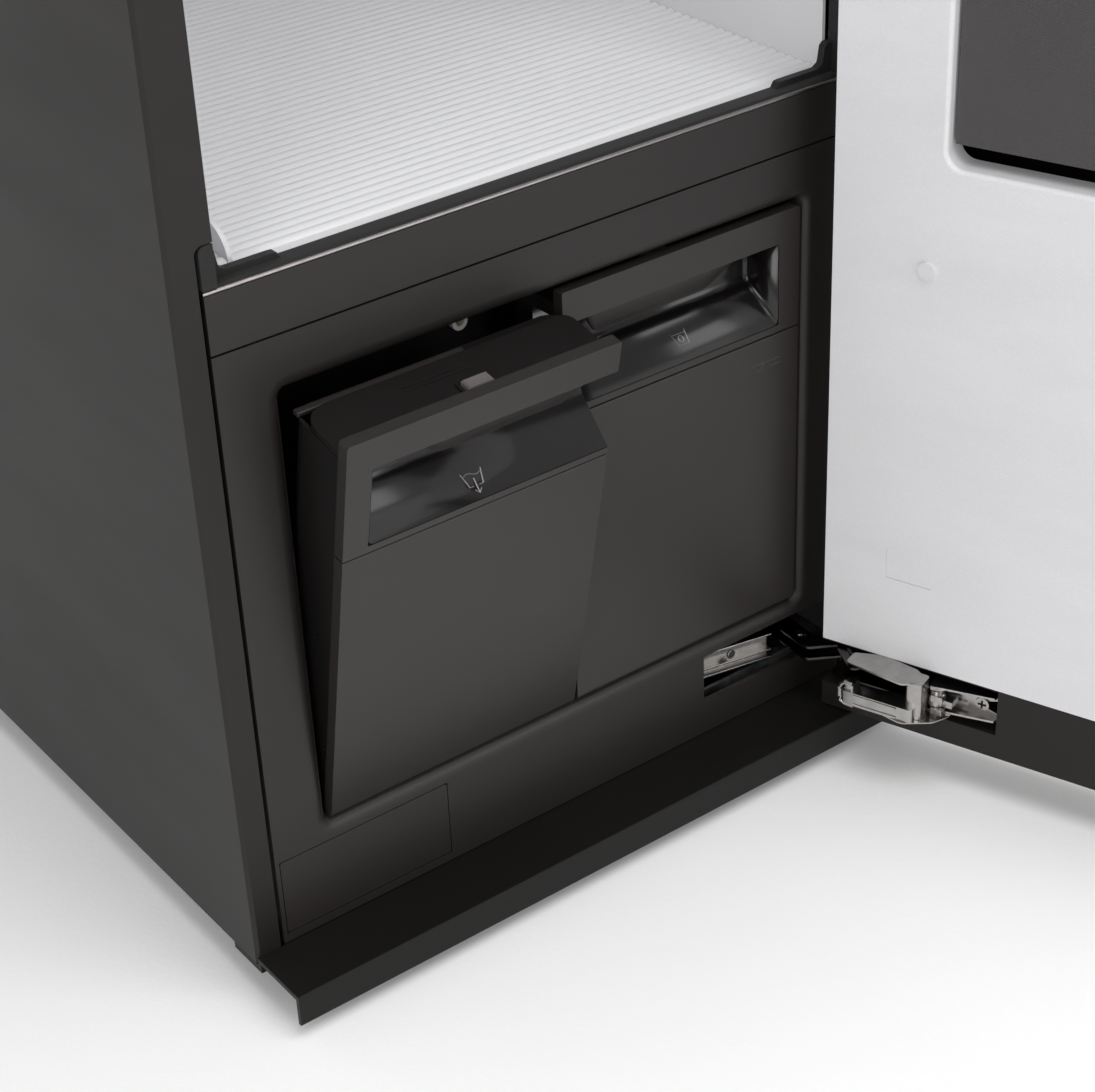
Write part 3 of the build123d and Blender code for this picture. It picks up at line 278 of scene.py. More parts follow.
NODE_FINISH = {
    shell_black: ["side_panel_left", "side_panel_right", "top_cover", "rear_panel"],
    bezel_black: ["tank_bezel", "crossbar", "header_bar", "service_cover"],
    sill_black: ["front_sill"],
    bay_black: ["tank_bay", "crossbar_strip"],
    gasket_black: ["door_seal"],
    zinc: ["base_pan", "hinge_arm_lower", "hinge_arm_upper"],
    white_nylon: ["dock_ports"],
    floor_white: ["chamber_floor", "chamber_wall_left", "chamber_wall_right", "chamber_wall_rear",
                  "chamber_ceiling", "steam_nozzle"],
    enamel_black: ["compressor"],
    fin_metal: ["condenser", "evaporator"],
    grey_plastic: ["blower_housing", "water_pumps", "control_box", "blower_wheel"],
    boiler_metal: ["steam_generator", "shaker_motor"],
    cord_grip: ["cord_inlet"],
    dark_chrome: ["hinge_link_lower", "hinge_link_upper"],
    mirror_black: ["door_panel"],
    door_black: ["door_frame"],
    door_white: ["door_liner"],
    board_grey: ["press_board"],
    cap_white: ["door_caps"],
    display_black: ["display_window"],
    nickel: ["hinge_plate_lower", "hinge_plate_upper", "hinge_screws"],
    press_grey: ["press_leaf"],
    tank_smoke: ["drain_tank", "fill_tank"],
    tank_black: ["drain_tank_face", "fill_tank_face"],
    lid_black: ["drain_tank_lid", "fill_tank_lid"],
    latch_grey: ["drain_tank_latch", "fill_tank_latch"],
    filter_blue: ["lint_filter"],
    rail_steel: ["hanger_rail", "shaker_crank"],
    foot_rubber: ["foot_front_left", "foot_front_right", "foot_rear_left", "foot_rear_right"],
}
for finish, names in NODE_FINISH.items():
    for name in names:
        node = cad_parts[name]
        node.data.materials.clear()
        node.data.materials.append(finish)


# ---- where the moving groups stand: the open door, its links and the tilted tank
ARM_PIVOT, DOOR_PIVOT = (170.0, -218.0), (213.3, -286.2)
LINK_SWING, DOOR_OPEN, TANK_TILT = 21, 110, 12
TANK_ROLL = Vector((0, -264.0, 104.0)) * MM


def turned(pivot, angle):
    centre = Matrix.Translation(Vector((*pivot, 0)) * MM)
    return centre @ Matrix.Rotation(radians(angle), 4, "Z") @ centre.inverted()


CABINET = Matrix.Identity(4)
LINK = turned(ARM_PIVOT, -LINK_SWING)
DOOR = LINK @ turned(DOOR_PIVOT, DOOR_OPEN + LINK_SWING)
TILTED = Matrix.Translation(TANK_ROLL) @ Matrix.Rotation(radians(TANK_TILT), 4, "X") @ Matrix.Translation(-TANK_ROLL)


# ---- forms, all in millimetres
def box(x, y, z):
    """A block from its three ranges."""
    shape = bmesh.new()
    bmesh.ops.create_cube(shape, size=1)
    for vert in shape.verts:
        vert.co = [lo + (hi - lo) * (c + 0.5) for (lo, hi), c in zip((x, y, z), vert.co)]
    return shape


def softened(points, radius, steps=5):
    """A closed outline with every corner rounded, or only some where radius is a list."""
    radii = radius if isinstance(radius, (list, tuple)) else [radius] * len(points)
    smooth = []
    for i, (point, r) in enumerate(zip(points, radii)):
        here, before, after = Vector(point), Vector(points[i - 1]), Vector(points[(i + 1) % len(points)])
        to_before, to_after = before - here, after - here
        half = to_before.angle(to_after) / 2
        reach = min(r / max(0.05, abs(sin(half) / cos(half))), to_before.length * 0.49, to_after.length * 0.49)
        if r <= 0 or reach < 0.01:
            smooth.append(here)
            continue
        start, end = here + to_before.normalized() * reach, here + to_after.normalized() * reach
        smooth += [start.lerp(here, t).lerp(here.lerp(end, t), t) for t in (k / steps for k in range(steps + 1))]
    return smooth


AXES = {"X": lambda a, b, c: (c, a, b), "Y": lambda a, b, c: (a, c, b), "Z": lambda a, b, c: (a, b, c)}


def prism(outline, low, high, axis="Z"):
    """An outline in the plane across an axis, drawn out along that axis."""
    shape, to_space = bmesh.new(), AXES[axis]
    rims = [[shape.verts.new(to_space(a, b, c)) for a, b in outline] for c in (low, high)]
    for rim in rims:
        shape.faces.new(rim)
    for i in range(len(outline)):
        shape.faces.new((rims[0][i - 1], rims[0][i], rims[1][i], rims[1][i - 1]))
    return shape


def lathed(profile, centre, axis="Z", steps=32):
    """A solid of revolution from (radius, height) points; its ends lie on the axis."""
    shape, to_space = bmesh.new(), AXES[axis]
    centre = Vector(centre)
    rings = []
    for radius, height in profile:
        count = steps if radius > 0 else 1
        rings.append([shape.verts.new(centre + Vector(to_space(
            radius * cos(tau * k / steps), radius * sin(tau * k / steps), height))) for k in range(count)])
    for low, high in zip(rings, rings[1:]):
        for k in range(steps):
            corners = [low[k % len(low)], low[(k + 1) % len(low)], high[(k + 1) % len(high)], high[k % len(high)]]
            shape.faces.new(list(dict.fromkeys(corners)))
    for rim in (rings[0], rings[-1]):
        if len(rim) > 1:
            shape.faces.new(rim)
    return shape


def swept(path, section, closed=False):
    """A section of (across, up) points carried along a path, with up kept along Z."""
    shape, points = bmesh.new(), [Vector(p) for p in path]
    last = len(points) - 1
    rings = []
    for i, point in enumerate(points):
        before = points[i - 1] if i or closed else point
        after = points[(i + 1) % (last + 1)] if i < last or closed else point
        run = (after - before).normalized()
        up = Vector((0, 0, 1)) if abs(run.z) < 0.9 else Vector((0, -1, 0))
        across = run.cross(up).normalized()
        up = across.cross(run)
        rings.append([shape.verts.new(point + across * a + up * b) for a, b in section])
    pairs = list(zip(rings, rings[1:])) + ([(rings[-1], rings[0])] if closed else [])
    for first, second in pairs:
        for k in range(len(section)):
            shape.faces.new((first[k - 1], first[k], second[k], second[k - 1]))
    if not closed:
        shape.faces.new(rings[0])
        shape.faces.new(rings[-1])
    return shape


def disc(radius, sides=10):
    return [(radius * cos(tau * k / sides), radius * sin(tau * k / sides)) for k in range(sides)]


def joined(*shapes):
    """Several forms in one."""
    whole, scrap = bmesh.new(), bpy.data.meshes.new("scrap")
    for shape in shapes:
        shape.to_mesh(scrap)
        whole.from_mesh(scrap)
        shape.free()
    bpy.data.meshes.remove(scrap)
    return whole


def mirrored(shape):
    """The same form on the other side of the cabinet's middle."""
    for vert in shape.verts:
        vert.co.x = -vert.co.x
    return shape


def cut_plate(outlines, low, high, axis="Z"):
    """A flat plate from one outer outline and any holes."""
    curve = bpy.data.curves.new("outlines", "CURVE")
    curve.dimensions, curve.fill_mode, curve.extrude = "2D", "BOTH", (high - low) / 2
    for outline in outlines:
        spline = curve.splines.new("POLY")
        spline.points.add(len(outline) - 1)
        for point, (a, b) in zip(spline.points, outline):
            point.co = (a, b, 0, 1)
        spline.use_cyclic_u = True
    holder = bpy.data.objects.new("outlines", curve)
    flat = bpy.data.meshes.new_from_object(holder)
    shape, to_space = bmesh.new(), AXES[axis]
    shape.from_mesh(flat)
    for vert in shape.verts:
        vert.co = to_space(vert.co.x, vert.co.y, vert.co.z + (low + high) / 2)
    bmesh.ops.remove_doubles(shape, verts=shape.verts, dist=0.001)
    bpy.data.objects.remove(holder)
    bpy.data.curves.remove(curve)
    bpy.data.meshes.remove(flat)
    return shape


def piece(name, shape, finish, body, place=CABINET, edge=0.0, replaces=(), sharp=32):
    """Sets a form in its place, rounds its edges, gives it its finish and lets it ride on its body."""
    shape.transform(place @ Matrix.Scale(MM, 4))
    bmesh.ops.recalc_face_normals(shape, faces=shape.faces)
    mesh = bpy.data.meshes.new(name)
    shape.to_mesh(mesh)
    shape.free()
    mesh.polygons.foreach_set("use_smooth", [True] * len(mesh.polygons))
    mesh.set_sharp_from_angle(angle=radians(sharp))
    mesh.materials.append(finish)
    made = bpy.data.objects.new(name, mesh)
    bpy.context.scene.collection.objects.link(made)
    if edge:
        rounding = made.modifiers.new("edges", "BEVEL")
        rounding.width, rounding.segments = edge * MM, 3
        rounding.limit_method, rounding.angle_limit = "ANGLE", radians(sharp)
        rounding.harden_normals = True
    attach(made, body)
    if replaces:
        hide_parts(*replaces)
    return made


# ---- tanks
FRONT = -270.0
TANK_IN, TANK_OUT, TANK_LOW, TANK_HIGH, LID_Z = 1.0, 166.8, 98.0, 357.0, 348.0
FACE_BACK, LEDGE_Z = FRONT + 7.4, 283.5
RECESS_LOW, BAR_LOW, RECESS_OUT = 288.0, 338.0, 152.0
RECESS_BACK, RECESS_RISE, ROOM_TOP = FRONT + 28.0, 20.0, 339.2
LATCH_X, LATCH_Y, LATCH_SIZE = 78.0, FRONT + 17.0, (16.0, 9.0)


def skinned(rings, capped=True):
    """A form drawn through rings that all have the same number of points."""
    shape = bmesh.new()
    made = [[shape.verts.new(point) for point in ring] for ring in rings]
    for first, second in zip(made, made[1:]):
        for k in range(len(first)):
            shape.faces.new((first[k - 1], first[k], second[k], second[k - 1]))
    if capped:
        shape.faces.new(made[0])
        shape.faces.new(made[-1])
    return shape


def ramp(value):
    """0 to 1 with soft ends."""
    value = min(1.0, max(0.0, value))
    return value * value * (3 - 2 * value)


def finger_room():
    """The glossy lining behind the handle bar: a rising floor, a back and one end wall."""
    section = [(FRONT + 0.3, RECESS_LOW + 0.3)] + softened(
        [(FRONT, RECESS_LOW), (RECESS_BACK - 0.5, RECESS_LOW + RECESS_RISE + 0.4), (RECESS_BACK - 0.5, ROOM_TOP)],
        [0, 9, 0], 8)[1:]
    shape = bmesh.new()
    rows = [[shape.verts.new((x, y, z)) for y, z in section] for x in (TANK_IN + 0.4, RECESS_OUT - 0.4)]
    for k in range(len(section) - 1):
        shape.faces.new((rows[0][k], rows[0][k + 1], rows[1][k + 1], rows[1][k]))
    top_front = shape.verts.new((RECESS_OUT - 0.4, FRONT + 0.3, ROOM_TOP))
    shape.faces.new(rows[1] + [top_front])
    return shape


def finger_lip():
    """The grip under the handle bar, which runs out smoothly at both ends."""
    rings = []
    for k in range(41):
        x = 16 + 112 * k / 40
        drop = 15.5 * ramp((x - 16) / 14) * ramp((128 - x) / 26)
        low, back = BAR_LOW - drop, 3.0 + 5.0 * drop / 15.5
        rings.append([(x, FRONT + 0.3, BAR_LOW + 1), (x, FRONT + 0.6, BAR_LOW - 0.02), (x, FRONT + back, low + 0.8),
                      (x, FRONT + back + 1.2, low - 0.2), (x, FRONT + back + 2.8, low + 0.2),
                      (x, FRONT + back + 3.4, low + 1.4), (x, FRONT + 12.5, BAR_LOW + 1)])
    return skinned(rings)


def tank_face():
    lower = prism(softened([(FACE_BACK, TANK_LOW), (FRONT, TANK_LOW), (FRONT, LEDGE_Z - 0.5), (FACE_BACK, LEDGE_Z - 0.5)],
                           [0, 6, 1.1, 0]), TANK_IN, TANK_OUT, "X")
    frame_outline = [(TANK_IN, LEDGE_Z + 0.5), (TANK_OUT, LEDGE_Z + 0.5), (TANK_OUT, TANK_HIGH), (TANK_IN, TANK_HIGH),
                     (TANK_IN, BAR_LOW), (RECESS_OUT, BAR_LOW), (RECESS_OUT, RECESS_LOW), (TANK_IN, RECESS_LOW)]
    upper = cut_plate([softened(frame_outline, [0.3, 0.3, 2.2, 1.6, 0.5, 2, 1.2, 0.3])], FRONT, FACE_BACK, "Y")
    return joined(lower, upper)


def tank_lid():
    """A lid with a rounded rear corner, a latch pocket, two fine ribs and a lip at the back."""
    outline = softened([(TANK_IN + 1, FACE_BACK), (TANK_OUT - 1, FACE_BACK), (TANK_OUT - 1, FRONT + 44),
                        (TANK_IN + 1, FRONT + 44)], [0, 0, 25, 9], 8)
    half_x, half_y = LATCH_SIZE[0] / 2 + 0.6, LATCH_SIZE[1] / 2 + 0.6
    pocket = [(LATCH_X - half_x, LATCH_Y - half_y), (LATCH_X + half_x, LATCH_Y - half_y),
              (LATCH_X + half_x, LATCH_Y + half_y), (LATCH_X - half_x, LATCH_Y + half_y)]
    top = cut_plate([outline, softened(pocket, 1.0)], LID_Z - 3.6, LID_Z)
    plug = box((TANK_IN + 4, TANK_OUT - 26), (FRONT + 10.6, FRONT + 42), (LID_Z - 8, LID_Z - 3.6))
    collar = cut_plate([softened([(x + (1.6 if x > LATCH_X else -1.6), y + (1.6 if y > LATCH_Y else -1.6))
                                  for x, y in pocket], 2.0), softened(pocket, 1.0)], LID_Z, LID_Z + 1.2)
    ribs = [box((LATCH_X - 4, LATCH_X + 34), (FRONT + back, FRONT + back + 0.8), (LID_Z - 0.2, LID_Z + 0.6))
            for back in (30.5, 33.5)]
    bead = prism(softened([(TANK_IN + 6, FACE_BACK + 1), (TANK_OUT - 4, FACE_BACK + 1), (TANK_OUT - 4, FACE_BACK + 3),
                           (TANK_IN + 6, FACE_BACK + 3)], 0.9), LID_Z - 0.2, LID_Z + 1.4)
    return joined(top, plug, collar, bead, *ribs)


def rim_behind_lid():
    return prism(softened([(FRONT + 44.3, LID_Z - 3.8), (FRONT + 48.8, LID_Z - 3.8), (FRONT + 48.8, LID_Z - 1),
                           (FRONT + 44.3, LID_Z - 1)], 0.8), TANK_OUT - 101, TANK_OUT - 1, "X")


def latch_button():
    top = skinned([[(LATCH_X + sx * (LATCH_SIZE[0] / 2 - inset), LATCH_Y + sy * (LATCH_SIZE[1] / 2 - inset), z)
                    for sx, sy in ((-1, -1), (1, -1), (1, 1), (-1, 1))]
                   for z, inset in ((LID_Z - 2.3, 0.1), (LID_Z + 2.6, 0.3), (LID_Z + 3.9, 1.2))])
    grips = [box((LATCH_X - 4.5, LATCH_X + 4.5), (LATCH_Y + dy - 0.3, LATCH_Y + dy + 0.3), (LID_Z + 3.6, LID_Z + 4.0))
             for dy in (-1.8, 0, 1.8)]
    return joined(top, *grips)


SLOPE = (Vector((0, RECESS_BACK - FRONT, RECESS_RISE))).normalized()


def on_slope(x, along):
    """A point just above the recess floor, that far up its slope."""
    return Vector((x, FRONT + 0.25, RECESS_LOW + 0.95)) + SLOPE * along


def strokes(lines, width, to_space):
    """Printed lines as flat raised strips."""
    ribbon = [(-width / 2, -0.02), (width / 2, -0.02), (width / 2, 0.06), (-width / 2, 0.06)]
    return joined(*[swept([to_space(*point) for point in line], ribbon) for line in lines])


def bucket(centre, low, tall, top_half, low_half):
    return [(centre - top_half, low + tall), (centre - low_half, low), (centre + low_half, low),
            (centre + top_half, low + tall)]


def drain_symbol():
    """A tub with a wave on top and an arrow that leaves it downwards."""
    x, low, tall = -82.0, 7.0, 8.0
    wave = [(x - 5 + t * 10 / 12, low + tall - 1.6 + 0.8 * sin(tau * t / 12)) for t in range(13)]
    outline = bucket(x, low, tall, 6.2, 4.2)
    return [outline[:2] + [(x - 1.8, low)], [(x + 1.8, low)] + outline[2:], wave, [(x, low + 4), (x, low - 4)],
            [(x - 2, low - 2), (x, low - 4.2), (x + 2, low - 2)]]


def fill_symbol():
    """A tub with a water line and a drop in it."""
    x, low, tall = 89.6, 9.4, 9.0
    drop = [(x + 1.5 * sin(tau * t / 14) * (1 - 0.5 * cos(pi * t / 7) ** 3 * 0.6),
             low + 3.6 + 2.2 * -cos(tau * t / 14)) for t in range(15)]
    return [bucket(x, low, tall, 5.0, 3.5), [(x - 4.5, low + tall - 2), (x + 4.5, low + tall - 2)], drop]


for prefix, sign, place in (("drain", -1, TILTED), ("fill", 1, CABINET)):
    body = f"{prefix}_tank"
    side_of = mirrored if sign < 0 else (lambda shape: shape)
    piece(f"{body}_front", side_of(tank_face()), tank_black, body, place, 0.45,
          [f"{body}_face"], sharp=25)
    lining = piece(f"{body}_finger_room", side_of(finger_room()), gloss_black, body, place, 0, sharp=50)
    corner = lining.modifiers.new("corner", "BEVEL")
    corner.width, corner.segments, corner.limit_method, corner.angle_limit = 3.5 * MM, 5, "ANGLE", radians(60)
    skin = lining.modifiers.new("thickness", "SOLIDIFY")
    skin.thickness, skin.offset = 0.7 * MM, 0
    piece(f"{body}_finger_lip", side_of(finger_lip()), tank_black, body, place, 0, sharp=50)
    piece(f"{body}_top", side_of(tank_lid()), lid_black, body, place, 0.5, [f"{body}_lid"])
    piece(f"{body}_rim", side_of(rim_behind_lid()), tank_black, body, place, 0.3)
    piece(f"{body}_button", side_of(latch_button()), latch_grey, f"{prefix}_latch", place, 0.3,
          [f"{body}_latch"])

piece("drain_symbol", strokes(drain_symbol(), 0.65, on_slope), ink_grey, "drain_tank", TILTED)
piece("fill_symbol", strokes(fill_symbol(), 0.65, on_slope), ink_grey, "fill_tank")
level_mark = [[(153, 268), (133, 268), (137, 263), (141, 268)], [(145, 264.5), (153, 264.5)]]
piece("fill_level_mark", strokes(level_mark, 0.5, lambda x, z: Vector((x, FRONT - 0.03, z))), latch_grey, "fill_tank")

# ---- gasket, painted highlight bead and hinge windows
BEZEL_X, CHAMBER_X, BAR_TOP, HEAD_LOW, NOTCH_Z = 204.8, 196.7, 424.0, 1786.0, 448.0
corner_outline = softened([(CHAMBER_X, BAR_TOP + 0.3), (BEZEL_X, BAR_TOP + 0.3), (BEZEL_X, NOTCH_Z - 1),
                           (CHAMBER_X, NOTCH_Z - 1)], [0, 0, 5.0, 0.6], 8)
hook_outline = softened([(CHAMBER_X + 1, BAR_TOP), (CHAMBER_X + 1, BAR_TOP + 17), (CHAMBER_X - 3, BAR_TOP + 17),
                         (CHAMBER_X - 5, BAR_TOP + 15), (CHAMBER_X - 6.5, BAR_TOP + 6), (CHAMBER_X - 10, BAR_TOP + 3.8),
                         (CHAMBER_X - 35, BAR_TOP + 3.8), (CHAMBER_X - 38, BAR_TOP + 3.6), (CHAMBER_X - 41, BAR_TOP - 1)],
                        [0, 0.5, 1.5, 1.5, 2.5, 2.5, 2, 1.5, 0])
gasket_forms = [
    prism(softened([(FRONT + 3, BAR_TOP - 1.8), (FRONT + 3, BAR_TOP - 0.8), (FRONT + 5, BAR_TOP + 0.2),
                    (FRONT + 13.8, BAR_TOP + 0.6), (FRONT + 14.4, BAR_TOP - 1.8)], [0, 0.5, 1.5, 0.5, 0]),
          -BEZEL_X, BEZEL_X, "X"),
    prism(softened([(FRONT + 0.2, HEAD_LOW - 9.8), (FRONT + 0.2, HEAD_LOW - 0.3), (FRONT + 12.8, HEAD_LOW - 0.3),
                    (FRONT + 12.8, HEAD_LOW - 6), (FRONT + 6, HEAD_LOW - 9.8)], [2, 1, 1, 2, 3]),
          -CHAMBER_X, CHAMBER_X, "X")]
for side_of in (mirrored, lambda shape: shape):
    gasket_forms += [
        side_of(prism(corner_outline, FRONT + 0.2, FRONT + 12.8, "Y")),
        side_of(prism(hook_outline, FRONT + 9.5, FRONT + 14.4, "Y")),
        side_of(prism(softened([(CHAMBER_X + 0.3, FRONT + 12.8), (BEZEL_X - 0.2, FRONT + 12.8),
                                (BEZEL_X - 0.2, FRONT + 1.7), (CHAMBER_X + 3, FRONT + 1.7), (CHAMBER_X + 0.3, FRONT + 5)],
                               [0, 0, 1, 2, 2]), NOTCH_Z - 4, HEAD_LOW - 0.4))]
piece("chamber_gasket", joined(*gasket_forms), gasket_black, "cabinet", edge=0.35,
      replaces=["door_seal"])
# The silver bead along the crossbar's top front edge is a painted highlight: a bright strip put where the black bar
# only catches light on its rounded edge.
piece("crossbar_painted_highlight_bead", swept([(-BEZEL_X, FRONT + 1.35, BAR_TOP - 1.2), (BEZEL_X, FRONT + 1.35, BAR_TOP - 1.2)],
                             disc(1.15, 14)), painted_highlight_silver, "cabinet", replaces=["crossbar_strip"])

# ---- door hinges
DOOR_IN = FRONT - 3.0
POCKET_FLOOR = DOOR_IN - 33.0


def strap(path, widths, low, high, steps=6):
    """A flat bar whose width changes along a path in plan."""
    points = [Vector(point) for point in path]
    left, right = [], []
    for i, (point, width) in enumerate(zip(points, widths)):
        run = (points[min(i + 1, len(points) - 1)] - points[max(i - 1, 0)]).normalized()
        across = Vector((-run.y, run.x)) * width / 2
        reach = run * (width / 2 if i in (0, len(points) - 1) else 0) * (-1 if i == 0 else 1)
        left.append(point + across + reach)
        right.append(point - across + reach)
    outline = softened([tuple(p) for p in left + right[::-1]],
                       [min(widths) * 0.48 if i in (0, len(points) - 1) else 6.0 for i in range(len(points))] * 2, steps)
    return prism(outline, low, high)


def rivet(x, y, z, radius, axis="Z"):
    """A flat headed pin with a dimple."""
    return lathed([(0, -1.5), (radius * 0.96, -1.5), (radius, 0.2), (radius * 0.85, 1.0), (radius * 0.55, 1.15),
                   (radius * 0.5, 0.7), (0, 0.65)], (x, y, z) if axis == "Z" else (x, y, z), axis, 28)


def hinge(z, level):
    """Arm behind the window, goose-necked link, and the folded plates on the door."""
    knee, bend = (184.0, -258.0), (191.0, -282.5)
    path = [ARM_PIVOT, knee, bend, DOOR_PIVOT]
    sheets = [strap(path, [13, 13, 14, 12], z + low, z + low + 1.6) for low in (1.1, 9.4)]
    web = prism([(x + dx, y + dy) for (x, y), (dx, dy) in zip(path[:3] + path[2::-1],
                [(6.2, 1.5), (6.2, 1.5), (5.5, 3.5), (4.0, 3.5), (4.7, 1.5), (4.7, 1.5)])], z + 1.6, z + 10.6)
    rib = swept([(176, -240, z + 11.2), (186, -264, z + 11.2), (191, -276, z + 11.2)], disc(1.1, 10))
    pins = [rivet(*ARM_PIVOT, z + 11, 4.2), rivet(*DOOR_PIVOT, z + 11, 4.4), rivet(188.5, -272, z + 11, 3.0)]
    piece(f"hinge_gooseneck_{level}", joined(*sheets, web, rib, *pins), dark_chrome, "hinge_links", LINK, 0.35,
          [f"hinge_link_{level}"])

    top = strap([DOOR_PIVOT, (206, -272), (195.0, -262)], [11, 11, 12], z + 12.4, z + 13.8)
    rails = [swept([(212 + dx, -280 + dy, z + 14), (199 + dx, -266 + dy, z + 14)], disc(0.8, 8))
             for dx, dy in ((-2.2, 1.6), (2.0, -1.8))]
    shelf = prism(softened([(219, -304), (219, -276), (206, -275.5), (150, -276), (150, -304)], [3, 6, 8, 3, 3]),
                  z - 11, z - 9.8)
    tray = cut_plate([softened([(112, z - 14.4), (219, z - 14.4), (219, z + 14.4), (112, z + 14.4)], 3)],
                     POCKET_FLOOR + 0.2, POCKET_FLOOR + 1.8, "Y")
    barrel = lathed([(0, -2), (5, -2), (5, 2.4), (0, 2.4)], (*DOOR_PIVOT, z + 6), "Z", 28)
    bolts = [rivet(195.0, -262, z + 13.6, 3.9), rivet(DOOR_PIVOT[0], DOOR_PIVOT[1], z + 13.6, 3.6),
             rivet(188, -290, z - 9.8, 3.6), rivet(156, -290, z - 9.8, 3.6)]
    stem = prism([(208.3, POCKET_FLOOR + 1), (218.3, POCKET_FLOOR + 1), (218.3, -287), (208.3, -287)], z + 4, z + 8.2)
    piece(f"hinge_shelf_{level}", joined(top, *rails, shelf, tray, barrel, stem, *bolts), dark_chrome, "door", DOOR, 0.3,
          [f"hinge_plate_{level}"] + (["hinge_screws"] if level == "lower" else []))

    arm = prism(softened([(153, -266), (197, -258), (198, -249.5), (152, -250)], [2, 1.5, 1.5, 3]), z - 8.8, z + 0.4)
    slot = [box((162, 190), (-251, -249.2), (z + dz, z + dz + 1)) for dz in (-7.8, -1.6)]
    loop = swept([(191, -250.6, z + 6), (196, -250.6, z + 6.3), (198.6, -250.6, z + 4.2), (199.4, -250.6, z + 1),
                  (199.4, -250.6, z - 4.5), (198.6, -250.6, z - 7.6), (196, -250.6, z - 9), (190, -250.6, z - 9)],
                 disc(1.35, 10))
    cheek = prism(softened([(191, -262), (197, -259), (197, -251), (191, -251)], 1.2), z - 0.5, z + 5.4)
    upper_fold = prism(softened([(199, -268), (199, -257), (160, -252), (148, -262), (158, -270), (182, -274)],
                                [3, 3, 6, 5, 4, 6]), z + 15, z + 16.2)
    post = prism(softened([(149, -268), (159, -268), (159, -254), (149, -256)], 2.5), z - 8.6, z + 16)
    lower_fold = prism(softened([(192, -271), (176, -252), (158, -248), (142, -258), (134, -272), (150, -276)],
                                [5, 9, 8, 6, 4, 4]), z - 9.7, z - 8.9)
    knuckles = [lathed([(0, -8), (4.2, -8), (4.2, 8), (0, 8)], (145, -270, z - 0.5), "Z", 24),
                lathed([(0, -3), (5.2, -3), (5.2, 3), (0, 3)], (145, -270, z + 0.5), "Z", 24),
                box((139, 146), (-269, -263.5), (z - 7, z - 3)), box((139, 146), (-269, -263.5), (z + 2, z + 6)),
                box((134, 141), (-276, -267), (z - 2.2, z + 2.2))]
    fork = softened([(150, z - 8), (134, z - 8), (122, z - 8.6), (110, z - 8.6), (110, z - 4.5), (117, z - 2.5),
                     (117, z + 2.5), (110, z + 4.5), (110, z + 8.6), (122, z + 8.6), (134, z + 8), (150, z + 8)],
                    [1, 4, 4, 1.5, 1.5, 2.4, 2.4, 1.5, 1.5, 4, 4, 1])
    web = cut_plate([fork], -280.5, -279, "Y")
    lips = [prism(softened([(150, -280), (110, -280), (110, -275), (122, -273), (140, -270), (150, -268)],
                           [0, 1, 2, 4, 4, 1]), z + dz, z + dz + 1.3) for dz in (-8.8, 7.5)]
    ribs = [prism(softened([(128, z + dz - 1.5), (146, z + dz - 1.5), (146, z + dz + 1.5), (128, z + dz + 1.5)], 1.4),
                  -279, -277.6, "Y") for dz in (-3.6, 3.6)]
    feet = [box((124, 140), (POCKET_FLOOR + 1.6, -279.6), (z + dz, z + dz + 1.4)) for dz in (-7.6, 6.2)]
    piece(f"hinge_clip_{level}", joined(arm, *slot, loop, cheek, upper_fold, post, lower_fold, *knuckles, web, *lips,
                                        *ribs, *feet), nickel, "door", DOOR, 0.4)

    head = lathed([(0, -2), (3.4, -2), (4.6, -0.2), (4.3, 0.9), (0, 1.3)], (119.5, -278.6, z), "Y", 28)
    piece(f"hinge_screw_{level}", head, nickel, "door", DOOR, 0)
    # The black cross raised on the screw head is painted shade: a dark sheet standing in for the shade inside the
    # screw's recessed cross slot.
    cross = [box((119.5 - a, 119.5 + a), (-277.6, -277.0), (z - b, z + b)) for a, b in ((2.6, 0.5), (0.5, 2.6))]
    piece(f"hinge_screw_painted_slot_shade_{level}", joined(*cross), bay_black, "door", DOOR, 0.1)

    side_rails = [prism(softened([(97, -250), (157, -262), (157, -256), (97, -244)], 0.8), z + low, z + low + 1.2)
                  for low in (8.0, -3.0, -8.6)]
    back_rail = prism([(97, -245), (157, -257), (157, -255.8), (97, -243.8)], z - 8.6, z + 9)
    carrier = box((100, 152), (-243, -201), (z - 12.8, z - 11.4)), box((100, 152), (-243, -201), (z + 11.4, z + 12.8))
    tongue = strap([(146, -226), (160, -222), ARM_PIVOT], [14, 13, 13], z + 3.6, z + 8.4)
    anchor = box((102, 150), (-202, -196.5), (min(z, 30) - 1, z) if level == "lower" else (z, 1846))
    screws = [lathed([(0, -1), (3, -1), (3, 0.6), (1.5, 1.2), (0, 1.2)], (128, -256.6, z + 4), "Y", 20)]
    piece(f"hinge_rails_{level}", joined(*side_rails, back_rail, *carrier, tongue, anchor, *screws), nickel, "cabinet",
          edge=0.3, replaces=[f"hinge_arm_{level}"])


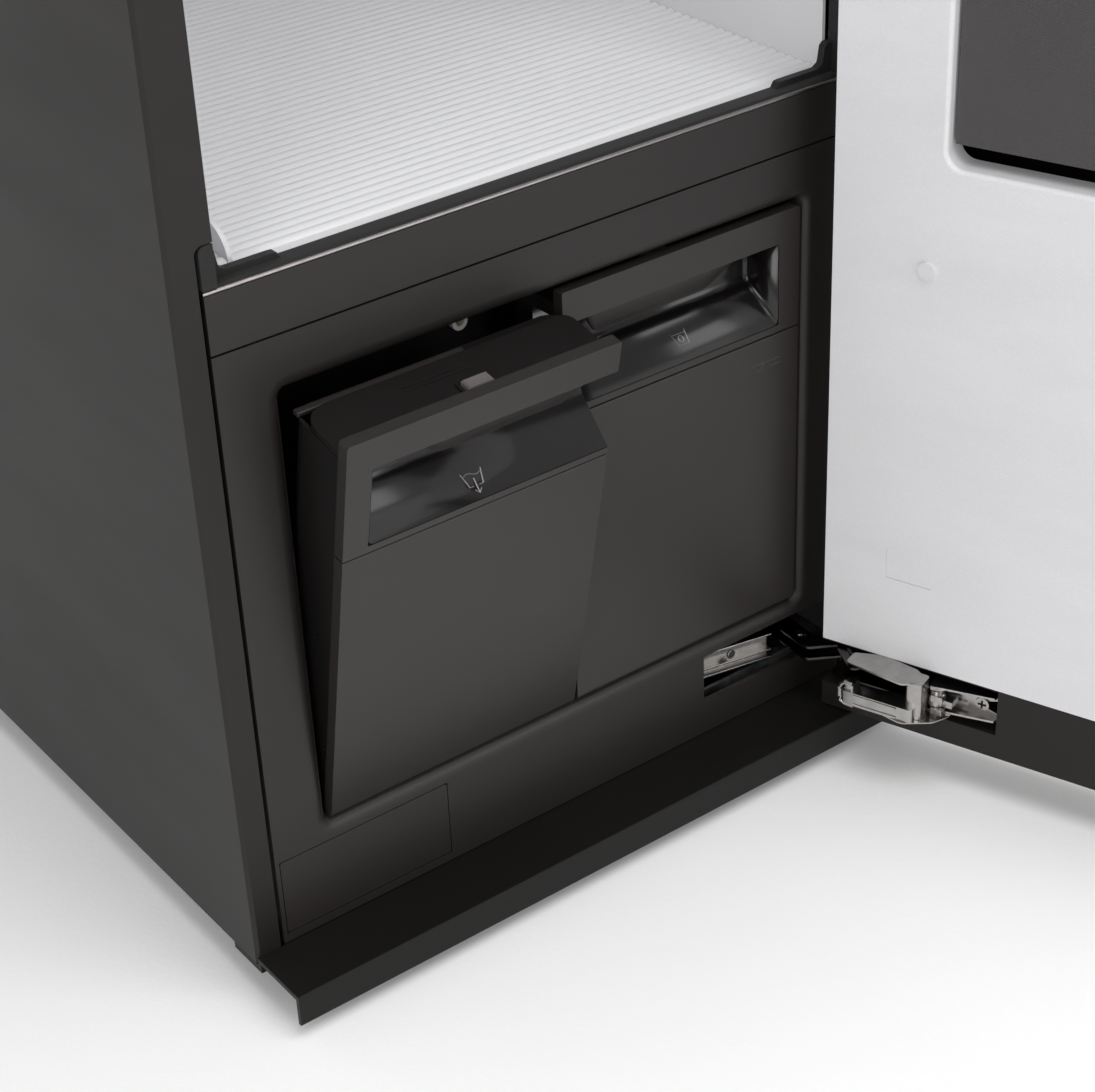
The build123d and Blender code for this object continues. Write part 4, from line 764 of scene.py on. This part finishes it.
hinge(63.0, "lower")
hinge(1814.0, "upper")


# ---- room, light and camera
def area_light(name, at, towards, size, power, tint=(1, 1, 1)):
    light = bpy.data.lights.new(name, "AREA")
    light.shape, light.size, light.size_y = "RECTANGLE", *size
    light.energy, light.color = power, tint
    lamp = bpy.data.objects.new(name, light)
    lamp.location = at
    lamp.rotation_euler = (Vector(towards) - Vector(at)).to_track_quat("-Z", "Y").to_euler()
    bpy.context.scene.collection.objects.link(lamp)


area_light("overhead_softbox", (0.2, -1.2, 3.6), (0, -0.3, 0.3), (2.6, 2.6), 75)
area_light("left_softbox", (-2.8, -2.2, 1.9), (0, -0.2, 0.4), (1.6, 2.2), 42)
area_light("front_softbox", (1.2, -3.6, 1.2), (0.1, -0.3, 0.3), (2.2, 1.8), 36)

world = bpy.data.worlds.new("studio")
world.use_nodes = True
world.node_tree.nodes["Background"].inputs["Color"].default_value = (1.0, 0.995, 0.99, 1)
world.node_tree.nodes["Background"].inputs["Strength"].default_value = 0.55
bpy.context.scene.world = world
bpy.context.scene.view_settings.view_transform = "Standard"

floor_finish = moulded("studio_floor_white", (0.93, 0.93, 0.93), 0.7, 3.0, 0.05, 0.01)
floor_shape = bmesh.new()
bmesh.ops.create_grid(floor_shape, x_segments=8, y_segments=8, size=7)
floor_mesh = bpy.data.meshes.new("studio_floor")
floor_shape.to_mesh(floor_mesh)
studio_floor = bpy.data.objects.new("studio_floor", floor_mesh)
studio_floor.data.materials.append(floor_finish)
bpy.context.scene.collection.objects.link(studio_floor)

camera = bpy.data.objects.new("camera", bpy.data.cameras.new("camera"))
camera.data.sensor_width, camera.data.lens = 36, 80.4
look_right, look_up = Vector((0.79599, -0.60404, -0.03913)), Vector((0.34619, 0.40126, 0.84802))
look_back = look_right.cross(look_up)
camera.matrix_world = Matrix.Translation((-0.6794, -1.1906, 0.91615)) @ Matrix(
    (look_right, look_up, look_back)).transposed().to_4x4()
bpy.context.scene.collection.objects.link(camera)
bpy.context.scene.camera = camera
